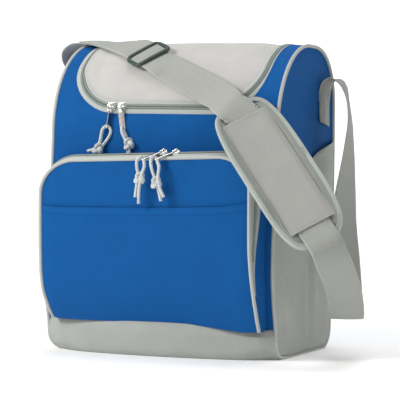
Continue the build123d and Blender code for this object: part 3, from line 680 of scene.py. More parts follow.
def cover(x, s):
    """0 by the straight front of the zipper, 1 along its side towards +x."""
    return step_up(x, 62, 100) * step_up(s, LID_TURN - 55, LID_TURN - 5)


def covered(line, lid):
    """A line by the zipper moved left: the lid covers its tape on the left, the front on the right."""
    if lid:
        return [(x - LID_COVER * cover(-x, s), s) for x, s in line]
    return [(x - FRONT_COVER * cover(x, s), s) for x, s in line]


def lid_seam(x, s):
    """Cloth near the zipper dips into its seam and stands proud beside it."""
    distance = zip_distance(x, s)
    gap = abs(distance) - 8.0
    dip = -1.0 + 1.0 * step_up(gap, 0.5, 5.0)
    if distance > 0:
        return dip + 1.2 * cover(x, s) * (1 - step_up(gap, -2, 10))
    return dip + 1.6 * step_up(gap, 3, 26) + 3.0 * cover(-x, s) * (1 - step_up(gap, -2, 14))


HOLE = 6.4                  # the cloth's edges stand this far each side of the zipper's centre
SEAM_FROM = 190             # the lid's seam touches no cloth below this run


def shell_point(x, s):
    return body_point(x, s, lid_seam(x, s) if s > SEAM_FROM else 0.0)


# ---- wrap cloth: front, back and lid -------------------------------------------------------
hole_line = covered(zip_line(HOLE), False)
front_loop = ([(-EDGE_X, BAND_S), (EDGE_X, BAND_S), (EDGE_X, TOP_S)] + hole_line[::-1] + [(-EDGE_X, TOP_S)])
front_cloth = panel("front_cloth", front_loop, shell_point, 4.0, 1.1)
dress(front_cloth, "bag", "blue_cloth", ["front_panel"])

back_loop = [(-EDGE_X, TOP_S), (EDGE_X, TOP_S), (EDGE_X, BACK_FOOT_S), (-EDGE_X, BACK_FOOT_S)]
back_cloth = panel("back_cloth", back_loop, body_point, 6.0, 1.1)
dress(back_cloth, "bag", "blue_cloth", ["back_panel"])

lid_line = covered(zip_line(-HOLE), True)
lid_cloth = panel("lid_cloth", lid_line, shell_point, 4.0, 1.1)
dress(lid_cloth, "lid", "light_cloth", ["lid_panel", "lid_foam"])


def tape(name, rows, marks, body, replaced):
    """A zipper's tape from rows of points, one row for each mark across it."""
    flat = [[(mark[0], d) for d in run_of(rows[0])] for mark in marks]
    return dress(grid_piece(name, rows, flat, thick=0.5), body, "zip_tape", [replaced])


# across the tape: how far from the zipper's centre, and how far out
TAPE_MARKS = ((0.3, -1.1), (3.1, -0.9), (3.4, -0.35), (5.0, -0.5), (7.0, -1.1), (8.8, -1.9))
for body, marks in (("bag", TAPE_MARKS), ("lid", [(-grow, lift) for grow, lift in TAPE_MARKS[::-1]])):
    rows = [[body_point(x, s, lift) for x, s in zip_line(grow)] for grow, lift in marks]
    tape(f"lid_tape_{body}", rows, marks, body, f"lid_zip_tape_{body}")

# a tooth's profile is in (side, out), carried through rings of (along, size)
TOOTH_PITCH = 1.55
TOOTH_PROFILE = ((0.25, -0.55), (0.25, 0.35), (0.7, 0.85), (1.7, 0.95), (2.5, 0.4), (2.5, -0.55))
TOOTH_RINGS = ((-0.42, 0.82), (-0.22, 1.0), (0.22, 1.0), (0.42, 0.82))


def coil(name, path, sides, outs, sign, body, replaced):
    """One side of a moulded zipper: a row of small rounded teeth on a cord edge."""
    run, table = run_of(path), np.array(path)
    verts, faces = [], []
    for k in range(int(run[-1] / TOOTH_PITCH)):
        d = (k + 0.5 + 0.25 * sign) * TOOTH_PITCH
        index = min(int(np.searchsorted(run, d)), len(path) - 1)
        place, side, out = at_run(d, run, table), sides[index] * sign, outs[index]
        along = side.cross(out).normalized()
        faces += tube_faces(len(TOOTH_RINGS), len(TOOTH_PROFILE), len(verts))
        for shift, size in TOOTH_RINGS:
            middle = place + along * (shift * TOOTH_PITCH) + side * ((1 - size) * 1.4)
            verts += [middle + side * (a * size) + out * (b * size) for a, b in TOOTH_PROFILE]
    return dress(settle(make_object(name, verts, faces), 50), body, "zip_teeth", [replaced])


zip_centre = zip_line(0.0, 1.6)
zip_path = [body_point(x, s, 0.2) for x, s in zip_centre]
zip_outer = [body_point(x, s, 0.2) for x, s in zip_line(2.0, 1.6)]
zip_sides = [(b - a).normalized() for a, b in zip(zip_path, zip_outer)]
for sign, body in ((1, "bag"), (-1, "lid")):
    coil(f"lid_teeth_{body}", zip_path, zip_sides, [body_normal(s) for _, s in zip_centre], sign, body,
         f"lid_zip_teeth_{body}")

# thread beside the zipper, on the cloth
for body, grow, slot, thread in (("bag", HOLE + 2.2, "blue_cloth", "blue"),
                                 ("lid", -HOLE - 2.2, "light_cloth", "grey")):
    line = covered(zip_line(grow), grow < 0)
    stitches(f"lid_stitch_{body}", [shell_point(x, s) + body_normal(s) * 0.1 for x, s in line],
             [body_normal(s) for _, s in line], body, slot, thread)


# ---- side panels, piping and side pockets --------------------------------------------------
SIDES = (("left", -1), ("right", 1))


def outline_loop(inset, step=6.0, swollen=True):
    """Flat (y, z) points round the side outline, anticlockwise seen from the right."""
    made = []
    for s in np.arange(0.0, FULL_RUN - 0.5, step):
        y, z, ny, nz, swell = along_outline(s)
        far = (swell if swollen else 0.0) - inset
        made.append((y + ny * far, z + nz * far))
    return made[::-1]


EDGE_LOOP = np.array(outline_loop(0.0, 3.0))


def edge_gap(y, z):
    """Distance from the side outline."""
    return float(np.min(np.hypot(EDGE_LOOP[:, 0] - y, EDGE_LOOP[:, 1] - z)))


def side_point(y, z, side):
    gap = edge_gap(y, z)
    dome = 2.6 * step_up(gap, 0, 55) + 0.8 * crumple(y, z, 7.7 + side, 70) * step_up(gap, 0, 30)
    return bulged(Vector((side * (134.6 + dome), y, z)))


HEM = smooth_path([(-110, 150, 0), (-95, 160, 0), (-50, 185, 0), (-10, 210, 0), (20, 223, 0), (53, 232, 0),
                   (95, 239, 0), (110, 241, 0)], 4.0)
POUCH_FOLDS = ((1.5, 18, 9.0), (-1.1, 2, 8.0), (1.3, -16, 10.0), (-0.9, 38, 10.0), (1.0, 62, 9.0))


def hem_height(y):
    return float(np.interp(y, HEM[:, 0], HEM[:, 1]))


def pouch_point(y, z, side, lift=0.0):
    """The side pocket's cloth: held at its edges, loose at its mouth, with upright folds."""
    gap = edge_gap(y, z)
    lean = y + 0.05 * (z - 120)
    folds = sum(high * math.exp(-((lean - middle) / width) ** 2) for high, middle, width in POUCH_FOLDS)
    folds *= 0.35 + 0.65 * step_up(hem_height(y) - z, 0, 90)
    folds += 0.7 * crumple(y, z, 1.7 + side, 50)
    stand = max(0.9 + 4.6 * step_up(gap, 0, 20) + folds * step_up(gap, 1, 26), 0.9)
    return bulged(Vector((side * (135.2 + stand), y, z))) + Vector((side * lift, 0, 0))


for word, side in SIDES:
    outward = Vector((side, 0, 0))
    cloth = panel(f"side_cloth_{word}", outline_loop(0.4), lambda y, z: side_point(y, z, side), 6.0, 1.1,
                  flip=side < 0)
    dress(cloth, "bag", "blue_cloth", [f"side_panel_{word}"])

    path = [bulged(Vector((side * 135.9, y, z))) for y, z in outline_loop(0.6, 4.0)]
    pipe = swept(f"edge_piping_{word}", path, ring(2.1, 2.1), outward, closed=True)
    dress(pipe, "bag", "piping", [f"piping_{word}"])

    rim = [(y, z) for y, z in outline_loop(3.0, 5.0) if z < hem_height(y)]
    start = max(range(len(rim)), key=lambda i: math.dist(rim[i], rim[i - 1]))
    rim = rim[start:] + rim[:start]
    mouth = [(y, hem_height(y)) for y in np.linspace(rim[-1][0], rim[0][0], 44)]
    pouch = panel(f"pouch_{word}", rim + mouth, lambda y, z: pouch_point(y, z, side), 4.0, 1.0, flip=side < 0,
                  offset=0)
    dress(pouch, "bag", "grey_cloth", [f"side_pocket_{word}"])

    rows = [[pouch_point(y, z - drop, side, lift) for y, z in mouth]
            for drop, lift in ((-0.6, -0.5), (-0.8, 0.3), (0.0, 0.75), (3.0, 0.8), (6.2, 0.75), (6.9, 0.2))]
    flat = [[(k * 1.6, math.dist(mouth[0], p)) for p in mouth] for k in range(len(rows))]
    hem = grid_piece(f"pouch_hem_{word}", rows, flat, thick=0.5, flip=side > 0)
    dress(hem, "bag", "grey_cloth", [f"pocket_hem_{word}"])
    for drop in (2.0, 5.2):
        stitches(f"hem_stitch_{word}_{round(drop)}", [pouch_point(y, z - drop, side, 0.95) for y, z in mouth],
                 outward, "bag", "grey_cloth")

# ---- grey band round the foot --------------------------------------------------------------
def band_front(x):
    """How far forward the band's front stands at x: an arc in plan."""
    radius = (133.7 ** 2 + 18.0 ** 2) / 36.0
    return -90.5 - 17.5 + (radius - math.sqrt(radius ** 2 - x ** 2)) + 3.2 * step_up(abs(x), 118, 135)


def band_top(x):
    """Height of the band's upper edge, which drops towards the front's right corner."""
    return BAND_TOP - 5.5 * step_up(x, 40, 112)


def band_profile(x):
    """(y, z) from the top of the front, under the foot and up the back, at x."""
    front, seam, top = band_front(x), step_up(abs(x), 119, EDGE_X), band_top(x)
    radius = 10 + 14 * step_up(abs(x), 92, EDGE_X)
    fold = 0.7 * crumple(x, 0, 5.2, 45) - 1.4 * math.exp(-((x - 108 - 0.3 * top) / 7.0) ** 2)
    made = [(front + 6.5 - 3.0 * seam, top + 1.0), (front + 3.0 - 1.6 * seam, top + 1.4),
            (front + 0.9, top + 0.4), (front - 0.2, top - 2.0), (front - 0.9 + fold * 0.5, top - 4.5),
            (front - 1.2 + fold, 26), (front - 1.0 + fold, 25)]
    made += [(front - 0.8 + radius * (1 - math.cos(a)), radius * (1 - math.sin(a)))
             for a in np.linspace(0.03, math.pi / 2, 12)]
    made += [(y, 0.0) for y in np.linspace(front + radius + 8, 58, 9)]
    made += [(65 + 24.5 * math.sin(a), 25 - 25 * math.cos(a)) for a in np.linspace(0.1, math.pi / 2, 9)]
    return made + [(90.3, 30), (90.6, BAND_TOP - 2), (90.2, BAND_TOP + 0.6), (88.4, BAND_TOP + 1.2),
                   (86.6, BAND_TOP + 0.6)]


band_x = [float(x) for x in np.linspace(-134.9, 134.9, 96)]
profiles = [band_profile(x) for x in band_x]
rows = [[bulged(Vector((x, y, z))) for y, z in profile] for x, profile in zip(band_x, profiles)]
flat = [[(x, float(d)) for d in run_of([Vector(p) for p in profile])] for x, profile in zip(band_x, profiles)]
band = grid_piece("base_band_cloth", rows, flat, thick=1.2, flip=True)
dress(band, "bag", "grey_cloth", ["base_band"])
stitches("band_stitch", [bulged(Vector((x, band_front(x) - 0.75, band_top(x) - 4.5))) for x in band_x[3:-3]],
         Vector((0, -1, 0.1)), "bag", "grey_cloth")

# ---- front pocket --------------------------------------------------------------------------
# height and y of the pocket's face
FACE_MARKS = ((30, -98.0), (36, -103.0), (50, -112.0), (68, -120.5), (82, -124.4), (95, -127.0),
              (120, -128.7), (150, -129.5), (190, -130.0), (224, -130.0))
POCKET_HALF, POCKET_TOP, POCKET_CORNER = 124.0, 222.0, 40.0
FOLD_LOW, FOLD_HIGH = 78.0, 106.0


def face_y(z):
    return float(np.interp(z, *zip(*FACE_MARKS)))


def face_normal(z):
    slope = (face_y(z + 6) - face_y(z - 6)) / 12
    return Vector((0, -1, slope)).normalized()


def leaned(point):
    """The filled pocket leans: it swells to the left and its top edge rises to the right."""
    out = min(max((-88 - point.y) / 34, 0.0), 1.0)
    share = point.x / POCKET_HALF
    drop = 5.5 * step_up(point.x, 40, 112) * (1 - step_up(point.z, 38, 100))
    rise = 4.6 * share * max(0.0, (point.z - 38) / 184) - drop
    push = 10.0 if share < 0 else 1.5 - 4.2 * step_up(point.z, 45, 130)
    point.x += push * share * out
    point.z += rise * min(1.0, 3 * out)
    return point


def pocket_corner(x, z):
    """A point's place across and over from the centre of the pocket's rounded corner."""
    return abs(x) - (POCKET_HALF - POCKET_CORNER), z - (POCKET_TOP - POCKET_CORNER)


def pocket_gap(x, z):
    """How far inside the pocket's outline a point of its face is."""
    return POCKET_CORNER - corner_reach(*pocket_corner(x, z))


def face_point(x, z, lift=0.0):
    gap = pocket_gap(x, z)
    puff = 1.2 * step_up(gap, 3, 16) + 1.8 * step_up(gap, 12, 60) * step_up(z, 50, 110)
    fold = 0.8 * crumple(x, z, 2.4, 75) * step_up(gap, 5, 30)
    return leaned(Vector((x, face_y(z) + 0.6, z)) + face_normal(z) * (puff + fold + lift))


def pocket_rim(grow, step=3.0, low=BAND_TOP + 1.5):
    """Flat (x, z) points round the pocket's outline moved out by grow, from its left foot to its right."""
    corner = POCKET_CORNER + grow
    x0, z0 = POCKET_HALF - POCKET_CORNER, POCKET_TOP - POCKET_CORNER
    half = [(-POCKET_HALF - grow, z) for z in np.linspace(low, z0, round((z0 - low) / step), endpoint=False)]
    half += [(-x0 - corner * math.cos(a), z0 + corner * math.sin(a))
             for a in np.linspace(0, math.pi / 2, 21, endpoint=False)]
    half += [(x, POCKET_TOP + grow) for x in np.linspace(-x0, 0, round(x0 / step), endpoint=False)]
    return mirrored(half, (0.0, POCKET_TOP + grow))


FACE_BLEND = ("bag", "pocket_flap", (0, -0.126, FOLD_LOW * MM), (0, -0.126, FOLD_HIGH * MM))
pocket_cloth = panel("pocket_cloth", pocket_rim(-3.2)[::-1], face_point, 4.0, 1.0)
dress(pocket_cloth, FACE_BLEND, "blue_cloth", ["pocket_face", "pocket_face_lower"])

path = [leaned(Vector((x, face_y(z) + 0.4, z))) for x, z in pocket_rim(-1.8)]
pipe = swept("pocket_edge_piping", path, ring(2.05, 2.05), Vector((0, -1, 0)))
dress(pipe, FACE_BLEND, "piping", ["pocket_piping", "pocket_piping_lower"])


def rim_point(x, z, depth, grow):
    """A point of the pocket's edge, so far behind its face. The gusset flares towards the body."""
    across, over = pocket_corner(x, z)
    length = math.hypot(max(across, 0.0), over)
    dx, dz = (max(across, 0.0) / length, over / length) if over > 0 else (1.0, 0.0)
    flare = 8.0 * max(0.0, depth - 2.0) / 36.0
    crest = 4.4 * step_up(depth, 0.5, 13) - 1.6 * step_up(depth, 18, 36)
    reach = flare * (1 - dz) + crest * dz + grow
    return leaned(Vector((x + math.copysign(dx, x) * reach if x else 0.0, face_y(z) + depth, z + dz * reach)))


def zip_share(z):
    """The pocket's zipper narrows down its sides, towards its ends."""
    return 0.12 + 0.88 * step_up(z, 62, 185)


FIRST_DEPTH = 1.6           # how far behind the face the zipper starts
# across each tape: the depth behind the face, and how far out
FLAP_MARKS = ((1.6, -1.0), (3.4, -0.5), (6.0, -0.3), (8.6, -0.5), (8.9, -1.2), (11.2, -1.2))
BAG_MARKS = ((11.8, -1.2), (14.1, -1.2), (14.4, -0.5), (17.0, -0.3), (20.0, -0.5), (21.6, -1.0))
for part, body, marks in (("flap", FACE_BLEND, FLAP_MARKS), ("bag", "bag", BAG_MARKS)):
    rows = [[rim_point(x, z, FIRST_DEPTH + (depth - FIRST_DEPTH) * zip_share(z), grow)
             for x, z in pocket_rim(0.0, low=74.0)] for depth, grow in marks]
    tape(f"pocket_tape_{part}", rows, marks, body, f"pocket_zip_tape_{part}")
rim = pocket_rim(0.0, 1.6, low=108.0)
path = [rim_point(x, z, FIRST_DEPTH + 9.9 * zip_share(z), -0.5) for x, z in rim]
outs = [(rim_point(x, z, 11.5, 2.0) - rim_point(x, z, 11.5, 0.0)).normalized() for x, z in rim]
sides = [Vector((0, 1, 0))] * len(rim)
for sign, body, part in ((1, "bag", "bag"), (-1, "pocket_flap", "flap")):
    coil(f"pocket_teeth_{part}", path, sides, outs, sign, body, f"pocket_zip_teeth_{part}")

rim = pocket_rim(0.0, low=BAND_TOP + 1.0)
rows = []
for t in np.linspace(0, 1, 10):
    row = []
    for x, z in rim:
        *_, swell = along_outline(z - 25)
        end = (-90 - swell + 1.5) - face_y(z)
        start = min(1.5 + 18.7 * zip_share(z) - 2.0 * (1 - step_up(z, 40, 70)), end - 1)
        depth = start + (end - start) * t
        billow = 1.2 * math.sin(math.pi * t) + 0.5 * crumple(x + z, depth * 3, 9.1, 40)
        row.append(rim_point(x, z, depth, billow - 0.6))
    rows.append(row)
flat = [[(k * 2.5, j * 3.0) for j in range(len(rim))] for k in range(len(rows))]
dress(grid_piece("gusset_cloth", rows, flat, thick=0.9), "bag", "blue_cloth", ["pocket_gusset"])

# slip pocket on the face
SLIP_TOP = 167.0
SLIP_HALF = POCKET_HALF - 3.4


def slip_top(x):
    """Height of the slip pocket's mouth, curling up at its ends."""
    curl_from, high, power = (84, 4.6, 1.8) if x > 0 else (102, 3.0, 1.5)
    curl = high * max(0.0, (abs(x) - curl_from) / (SLIP_HALF - curl_from)) ** power
    return SLIP_TOP - 1.0 * (1 - (x / SLIP_HALF) ** 2) + curl


def slip_point(x, z, lift=0.0):
    top = slip_top(x)
    loose = (1 - step_up(top - z, 0, 60)) * step_up(SLIP_HALF - abs(x), 0, 26)
    stand = 1.1 + 0.9 * loose + 0.4 * crumple(x, z, 8.8, 48)
    return face_point(x, z, stand * step_up(SLIP_HALF - abs(x), -1, 6) + 0.2 + lift)


slip_x = [float(x) for x in np.linspace(-SLIP_HALF, SLIP_HALF, 70)]
slip_loop = [(x, BAND_TOP + 1.5) for x in (-SLIP_HALF, SLIP_HALF)] + [(x, slip_top(x)) for x in slip_x[::-1]]
slip_cloth = panel("slip_cloth", slip_loop, slip_point, 4.0, 0.9)
dress(slip_cloth, FACE_BLEND, "blue_cloth", ["slip_pocket"])
rows = [[slip_point(x, slip_top(x) - drop, lift) for x in slip_x]
        for drop, lift in ((1.4, -1.4), (-0.5, -0.6), (-0.6, 0.2), (0.4, 0.5), (8.0, 0.45), (9.0, 0.0))]
flat = [[(x, k * 2.0) for x in slip_x] for k in range(len(rows))]
dress(grid_piece("slip_hem", rows, flat, thick=0.4, flip=True), "pocket_flap", "blue_cloth")
for drop in (1.8, 7.0):
    stitches(f"slip_stitch_{round(drop)}", [slip_point(x, slip_top(x) - drop, 0.6) for x in slip_x],
             Vector((0, -1, 0)), "pocket_flap", "blue_cloth", "blue")

# ---- liner, seen when the lid is open ------------------------------------------------------
INSET = 8.6


def liner_point(x, s, lift=0.0):
    y, z, ny, nz, _ = along_outline(s)
    far = -INSET + lift + 0.9 * crumple(x, s, 11.3, 38) + 0.5 * crumple(x, s, 4.4, 14)
    return Vector((x * (125.6 / EDGE_X), y + ny * far, z + nz * far))


liner_front = panel("liner_front",
                    [(-EDGE_X, 0), (EDGE_X, 0), (EDGE_X, TOP_S)] + hole_line[::-1] + [(-EDGE_X, TOP_S)],
                    liner_point, 5.0, 0.5, flip=True, offset=1)
dress(liner_front, "bag", "liner", ["liner_tub", "foam_front"])
liner_back = panel("liner_back", [(-EDGE_X, TOP_S), (EDGE_X, TOP_S), (EDGE_X, FULL_RUN), (-EDGE_X, FULL_RUN)],
                   liner_point, 6.0, 0.5, flip=True, offset=1)
dress(liner_back, "bag", "liner", ["foam_back", "foam_bottom"])
for word, side in SIDES:
    wall = panel(f"liner_side_{word}", outline_loop(INSET, swollen=False),
                 lambda y, z: Vector((side * (125.8 + 0.8 * crumple(y, z, 6.1, 35)), y, z)), 6.0, 0.5,
                 flip=side > 0, offset=1)
    dress(wall, "bag", "liner", [f"foam_{word}"])

# the cut edges of cloth, foam and liner are bound together round the opening
for name, line, grow, body, slot in (("mouth_binding", hole_line, HOLE, "bag", "blue_cloth"),
                                     ("lid_binding", lid_line, -HOLE, "lid", "light_cloth")):
    rows = []
    for t in np.linspace(0, 1, 7):
        puff = -0.8 * math.copysign(math.sin(math.pi * t), grow)
        row = []
        for (x, s), (rim_x, rim_s) in zip(line, covered(zip_line(grow + puff), grow < 0)):
            top, low = shell_point(x, s) - body_normal(s) * 0.8, liner_point(x, s)
            row.append(top.lerp(low, t) + body_point(rim_x, rim_s) - body_point(x, s))
        rows.append(row)
    flat = [[(k * 1.6, j * 2.5) for j in range(len(line))] for k in range(len(rows))]
    dress(grid_piece(name, rows, flat, thick=0.6, offset=0), body, slot)

lid_liner = panel("lid_liner_film", lid_line, lambda x, s: liner_point(x, s, 0.2) + Vector((x * 0.03, 0, 0)),
                  5.0, 0.5, flip=True, offset=1)
dress(lid_liner, "lid", "liner", ["lid_liner"])

# the hinge: cloth outside and film inside, between the lid and the bag
HINGE_NORMAL = body_normal(TOP_S)
HINGE_MARKS = ((-9.0, 0.1), (-8.6, 0.9), (-4, 1.0), (-0.5, 0.9), (0, 0.9), (0.5, 0.9), (4, 1.0), (8.6, 0.9),
               (9.0, 0.1))              # (past the hinge, lift)
hinge_x = [float(x) for x in np.linspace(-ZIP_HALF + 0.5, ZIP_HALF - 0.5, 60)]
band_rows = [[shell_point(x, TOP_S + ds) + HINGE_NORMAL * lift for x in hinge_x] for ds, lift in HINGE_MARKS]
film_rows = [[liner_point(x, TOP_S + float(ds), -0.9) for x in hinge_x] for ds in np.linspace(-14, 14, 9)]
for name, rows, width, slot, start, end in (
        ("hinge_band", band_rows, 2.2, "grey_cloth", (0, 0.0585, 0.340), (0, 0.0425, 0.346)),
        ("hinge_film", film_rows, 3.5, "liner", (0, 0.066, 0.333), (0, 0.036, 0.3375))):
    flat = [[(k * width, x) for x in hinge_x] for k in range(len(rows))]
    dress(grid_piece(name, rows, flat, thick=0.5, flip=slot == "liner"), ("bag", "lid", start, end), slot)
for ds, body in ((-6.5, "lid"), (6.5, "bag")):
    stitches(f"hinge_stitch_{body}", [shell_point(x, TOP_S + ds) + HINGE_NORMAL * 1.1 for x in hinge_x],
             HINGE_NORMAL, body, "grey_cloth")

# ---- sliders and pull tabs -----------------------------------------------------------------
def join_meshes(name, parts):
    verts, faces = [], []
    for some, rings in parts:
        base = len(verts)
        verts += some
        faces += [tuple(base + i for i in face) for face in rings]
    return make_object(name, verts, faces)


def tube_parts(points, radius, lean, closed=False, count=10, flatten=1.0):
    section = ring(radius, radius * flatten, count)
    verts = [point + side * a + out * b
             for point, (side, out) in zip(points, frames_along(points, lean, closed)) for a, b in section]
    return verts, tube_faces(len(points), count, closed=closed)


def slab_parts(outline, place, low, high, bevel):
    """A plate with rounded edges: outline (a, b), placed by place(a, b, h)."""
    table = np.array(outline, float)
    middle = table.mean(0)
    size = np.abs(table - middle).max()
    half_round = [(0, bevel), (bevel * 0.3, bevel * 0.3), (bevel, 0)]
    layers = [(low + h, inset) for h, inset in half_round]
    layers += [(high - h, inset) for h, inset in half_round[::-1]]
    verts = [place(a, b, h) for h, inset in layers for a, b in middle + (table - middle) * (1 - inset / size)]
    return verts, tube_faces(len(layers), len(outline))


def slider_piece(name, origin, out, bar, bar_side, body, stand):
    """A zipper slider: a waisted body on the teeth with a wire bail over it."""
    along = Vector((1, 0, 0))
    side = out.cross(along)

    def place(a, b, h):
        return origin + along * a + side * b + out * h

    outline = []
    for t in circle(40):
        a = 5.6 * squared(math.cos(t), 0.6)
        outline.append((a, 4.3 * squared(math.sin(t), 0.7) * (1 - 0.22 * math.exp(-(a / 2.2) ** 2))))
    ridge = [(3.6 * math.cos(t), 1.7 * math.sin(t) + bar_side * 0.4) for t in circle(24)]
    parts = [slab_parts(outline, place, stand, stand + 1.5, 0.5),
             slab_parts(ridge, place, stand + 1.3, stand + 2.0, 0.4)]
    for b in (-4.1, 4.1):
        flange = [(5.0 * squared(math.cos(t), 0.5), b + 0.55 * math.sin(t)) for t in circle(20)]
        parts.append(slab_parts(flange, place, stand - 1.5, stand + 0.8, 0.3))
    foot = stand + 1.2
    wire = [(-4.4, foot), (-4.3, bar - 1.6), (-3.5, bar - 0.4), (-2.2, bar), (0, bar + 0.15), (2.2, bar),
            (3.5, bar - 0.4), (4.3, bar - 1.6), (4.4, foot)]
    path = [place(a, bar_side, h) for a, h in smooth_path(wire, 0.7)]
    parts.append(tube_parts(path, 0.85, side, flatten=0.85))
    return dress(settle(join_meshes(name, parts), 40), body, "nickel", [body])


TAB_HALF, TAB_THICK, TAB_NECK = 3.5, 1.5, 2.2
TAB_HOLE = 1.75             # radius of the hole for the cord
TAB_POINTS = 44


def tab_piece(name, hinge, end, across, body):
    """A pull tab: a stamped plate with an eye round the bail and a hole for its cord."""
    hinge, end, across = Vector(hinge), Vector(end), Vector(across)
    upward = (hinge - end).normalized()
    across = (across - upward * across.dot(upward)).normalized()
    face = across.cross(upward)
    length = (hinge - end).length
    hole = Vector((0, 3.4 - length))
    reach = (length - TAB_NECK) / 2
    verts = []

    def layer(h, shrink, hole_grow):
        """Adds the plate's outline and its hole at one height, and returns where they start."""
        base = len(verts)
        for t in circle(TAB_POINTS):
            x = TAB_HALF * squared(math.cos(t), 0.45)
            y = -TAB_NECK - reach + reach * squared(math.sin(t), 0.42)
            x *= 1 - 0.42 * step_up(y, -6.5, -2.5)
            x -= math.copysign(min(shrink, abs(x)), x)
            y -= math.copysign(shrink, y + TAB_NECK + reach) * 0.7
            verts.append((x, y, h))
        wide = TAB_HOLE * hole_grow
        verts.extend((wide * math.cos(t), hole.y + wide * math.sin(t), h) for t in circle(TAB_POINTS))
        return base

    half, edge = TAB_THICK / 2, TAB_THICK / 2 - 0.25
    layers = [layer(-half, 0.35, 1.15), layer(-edge, 0, 1.0), layer(edge, 0, 1.0), layer(half, 0.35, 1.15)]
    faces = []
    for low, high in zip(layers, layers[1:]):
        low_hole, high_hole = low + TAB_POINTS, high + TAB_POINTS
        for n in range(TAB_POINTS):
            m = (n + 1) % TAB_POINTS
            faces.append((low + n, low + m, high + m, high + n))
            faces.append((low_hole + m, low_hole + n, high_hole + n, high_hole + m))
    for base in (layers[0], layers[-1]):
        spots = [Vector(v[:2]) for v in verts[base:base + 2 * TAB_POINTS]]
        hole_edges = [(TAB_POINTS + n, TAB_POINTS + (n + 1) % TAB_POINTS) for n in range(TAB_POINTS)]
        made, _, tris, *_ = delaunay_2d_cdt(spots, hole_edges, [list(range(TAB_POINTS))], 1, 1e-6)
        for tri in tris:
            middle = sum((made[i] for i in tri), Vector((0, 0))) / 3
            if (middle - hole).length > TAB_HOLE * 1.05:
                ids = [min(range(len(spots)), key=lambda i: (spots[i] - made[v]).length_squared) for v in tri]
                faces.append(tuple(base + i for i in (ids if base else ids[::-1])))
    placed = [hinge + across * x + upward * y + face * h for x, y, h in verts]
    eye = [hinge + (face * math.cos(t) + upward * math.sin(t)) * 1.95 for t in circle(22)]
    parts = [(placed, faces), tube_parts(eye, 0.8, across, closed=True, flatten=2.2)]
    return dress(settle(join_meshes(name, parts), 40), body, "nickel", [body])


UPRIGHT = Vector((0, 0, 1))
LID_PULLS = {"left": ((-64, -92.83, 276.92), (-66.5, -96.0, 252.5), (0.3, -0.95, 0)),
             "right": ((-51, -92.83, 276.92), (-47.0, -94.0, 252.0), (1, 0, 0))}
POCKET_PULLS = {"left": ((13.5, -118.3, 229.2), (-4.6, -139.8, 219.0), (0.77, -0.64, 0)),
                "right": ((28.5, -118.3, 229.2), (11.2, -139.8, 219.6), (0.81, -0.59, 0))}
for word, _ in SIDES:
    for where, pull, foot, out, bar, bar_side, stand in (
            ("lid", LID_PULLS[word], ZIP_FRONT, ZIP_NORMAL, 6.8, -1.85, 1.7),
            ("pocket", POCKET_PULLS[word], Vector((0, -118.3, 222.0)), UPRIGHT, 7.2, 0.0, 4.4)):
        origin = foot + Vector((pull[0][0], 0, 0))
        slider_piece(f"{where}_runner_{word}", origin, out, bar, bar_side, f"{where}_slider_{word}", stand)
        tab_piece(f"{where}_tab_{word}", *pull, f"{where}_pull_{word}")

# ---- pull cords and their knots ------------------------------------------------------------
CORDS = {
    "lid_left": ("lid_cord_left", (-74.8, -99.5, 229.5), (-0.35, 0, -1), [
        [(-66.2, -95.6, 255.8), (-70.6, -97.2, 253.6), (-72.0, -97.8, 246.0), (-73.6, -98.0, 236.0),
         (-76.6, -101.0, 229.0), (-87.4, -101.5, 227.0)],
        [(-66.2, -95.6, 255.8), (-61.8, -94.4, 253.2), (-61.8, -94.8, 246.5), (-67.0, -95.6, 238.0),
         (-73.6, -98.6, 229.5), (-80.6, -101.6, 220.5)]]),
    "lid_right": ("lid_cord_right", (-38.0, -97.5, 235.5), (0.2, 0, -1), [
        [(-47.5, -93.8, 255.4), (-47.2, -98.4, 254.0), (-45.6, -99.6, 247.5), (-41.2, -99.4, 240.0),
         (-37.6, -98.8, 232.0), (-36.2, -98.4, 224.0)],
        [(-47.5, -93.8, 255.4), (-46.6, -91.9, 253.2), (-44.0, -92.4, 247.0), (-41.0, -94.0, 240.0),
         (-39.0, -95.4, 232.0), (-40.2, -96.0, 224.5)]]),
    "pocket_left": ("pocket_cord_left", (-4.2, -142.4, 199.0), (-0.1, 0, -1), [
        [(-2.6, -137.4, 220.4), (-4.4, -139.6, 223.6), (-7.6, -142.2, 220.6), (-8.2, -142.8, 212.0),
         (-6.0, -141.4, 203.0), (-8.2, -140.8, 193.0), (-10.0, -141.4, 178.0)],
        [(-2.6, -137.4, 220.4), (-0.6, -139.2, 217.0), (1.2, -141.6, 211.5), (-1.2, -143.4, 204.5),
         (-3.6, -144.0, 194.0), (-5.0, -143.2, 182.0), (-5.2, -142.6, 171.0)]]),
    "pocket_right": ("pocket_cord_right", (15.7, -142.4, 194.5), (0.1, 0, -1), [
        [(13.2, -137.3, 221.0), (11.2, -139.6, 224.2), (8.4, -142.2, 221.0), (9.4, -142.8, 211.0),
         (13.2, -141.4, 200.0), (17.2, -140.8, 188.0), (21.0, -141.4, 174.5)],
        [(13.2, -137.3, 221.0), (15.2, -139.2, 217.6), (18.8, -141.6, 211.5), (17.8, -143.4, 203.0),
         (18.6, -144.0, 191.0), (25.0, -143.2, 179.0)]]),
}


CORD_DIAMETER = 3.6
KNOT_TUBE = 1.95


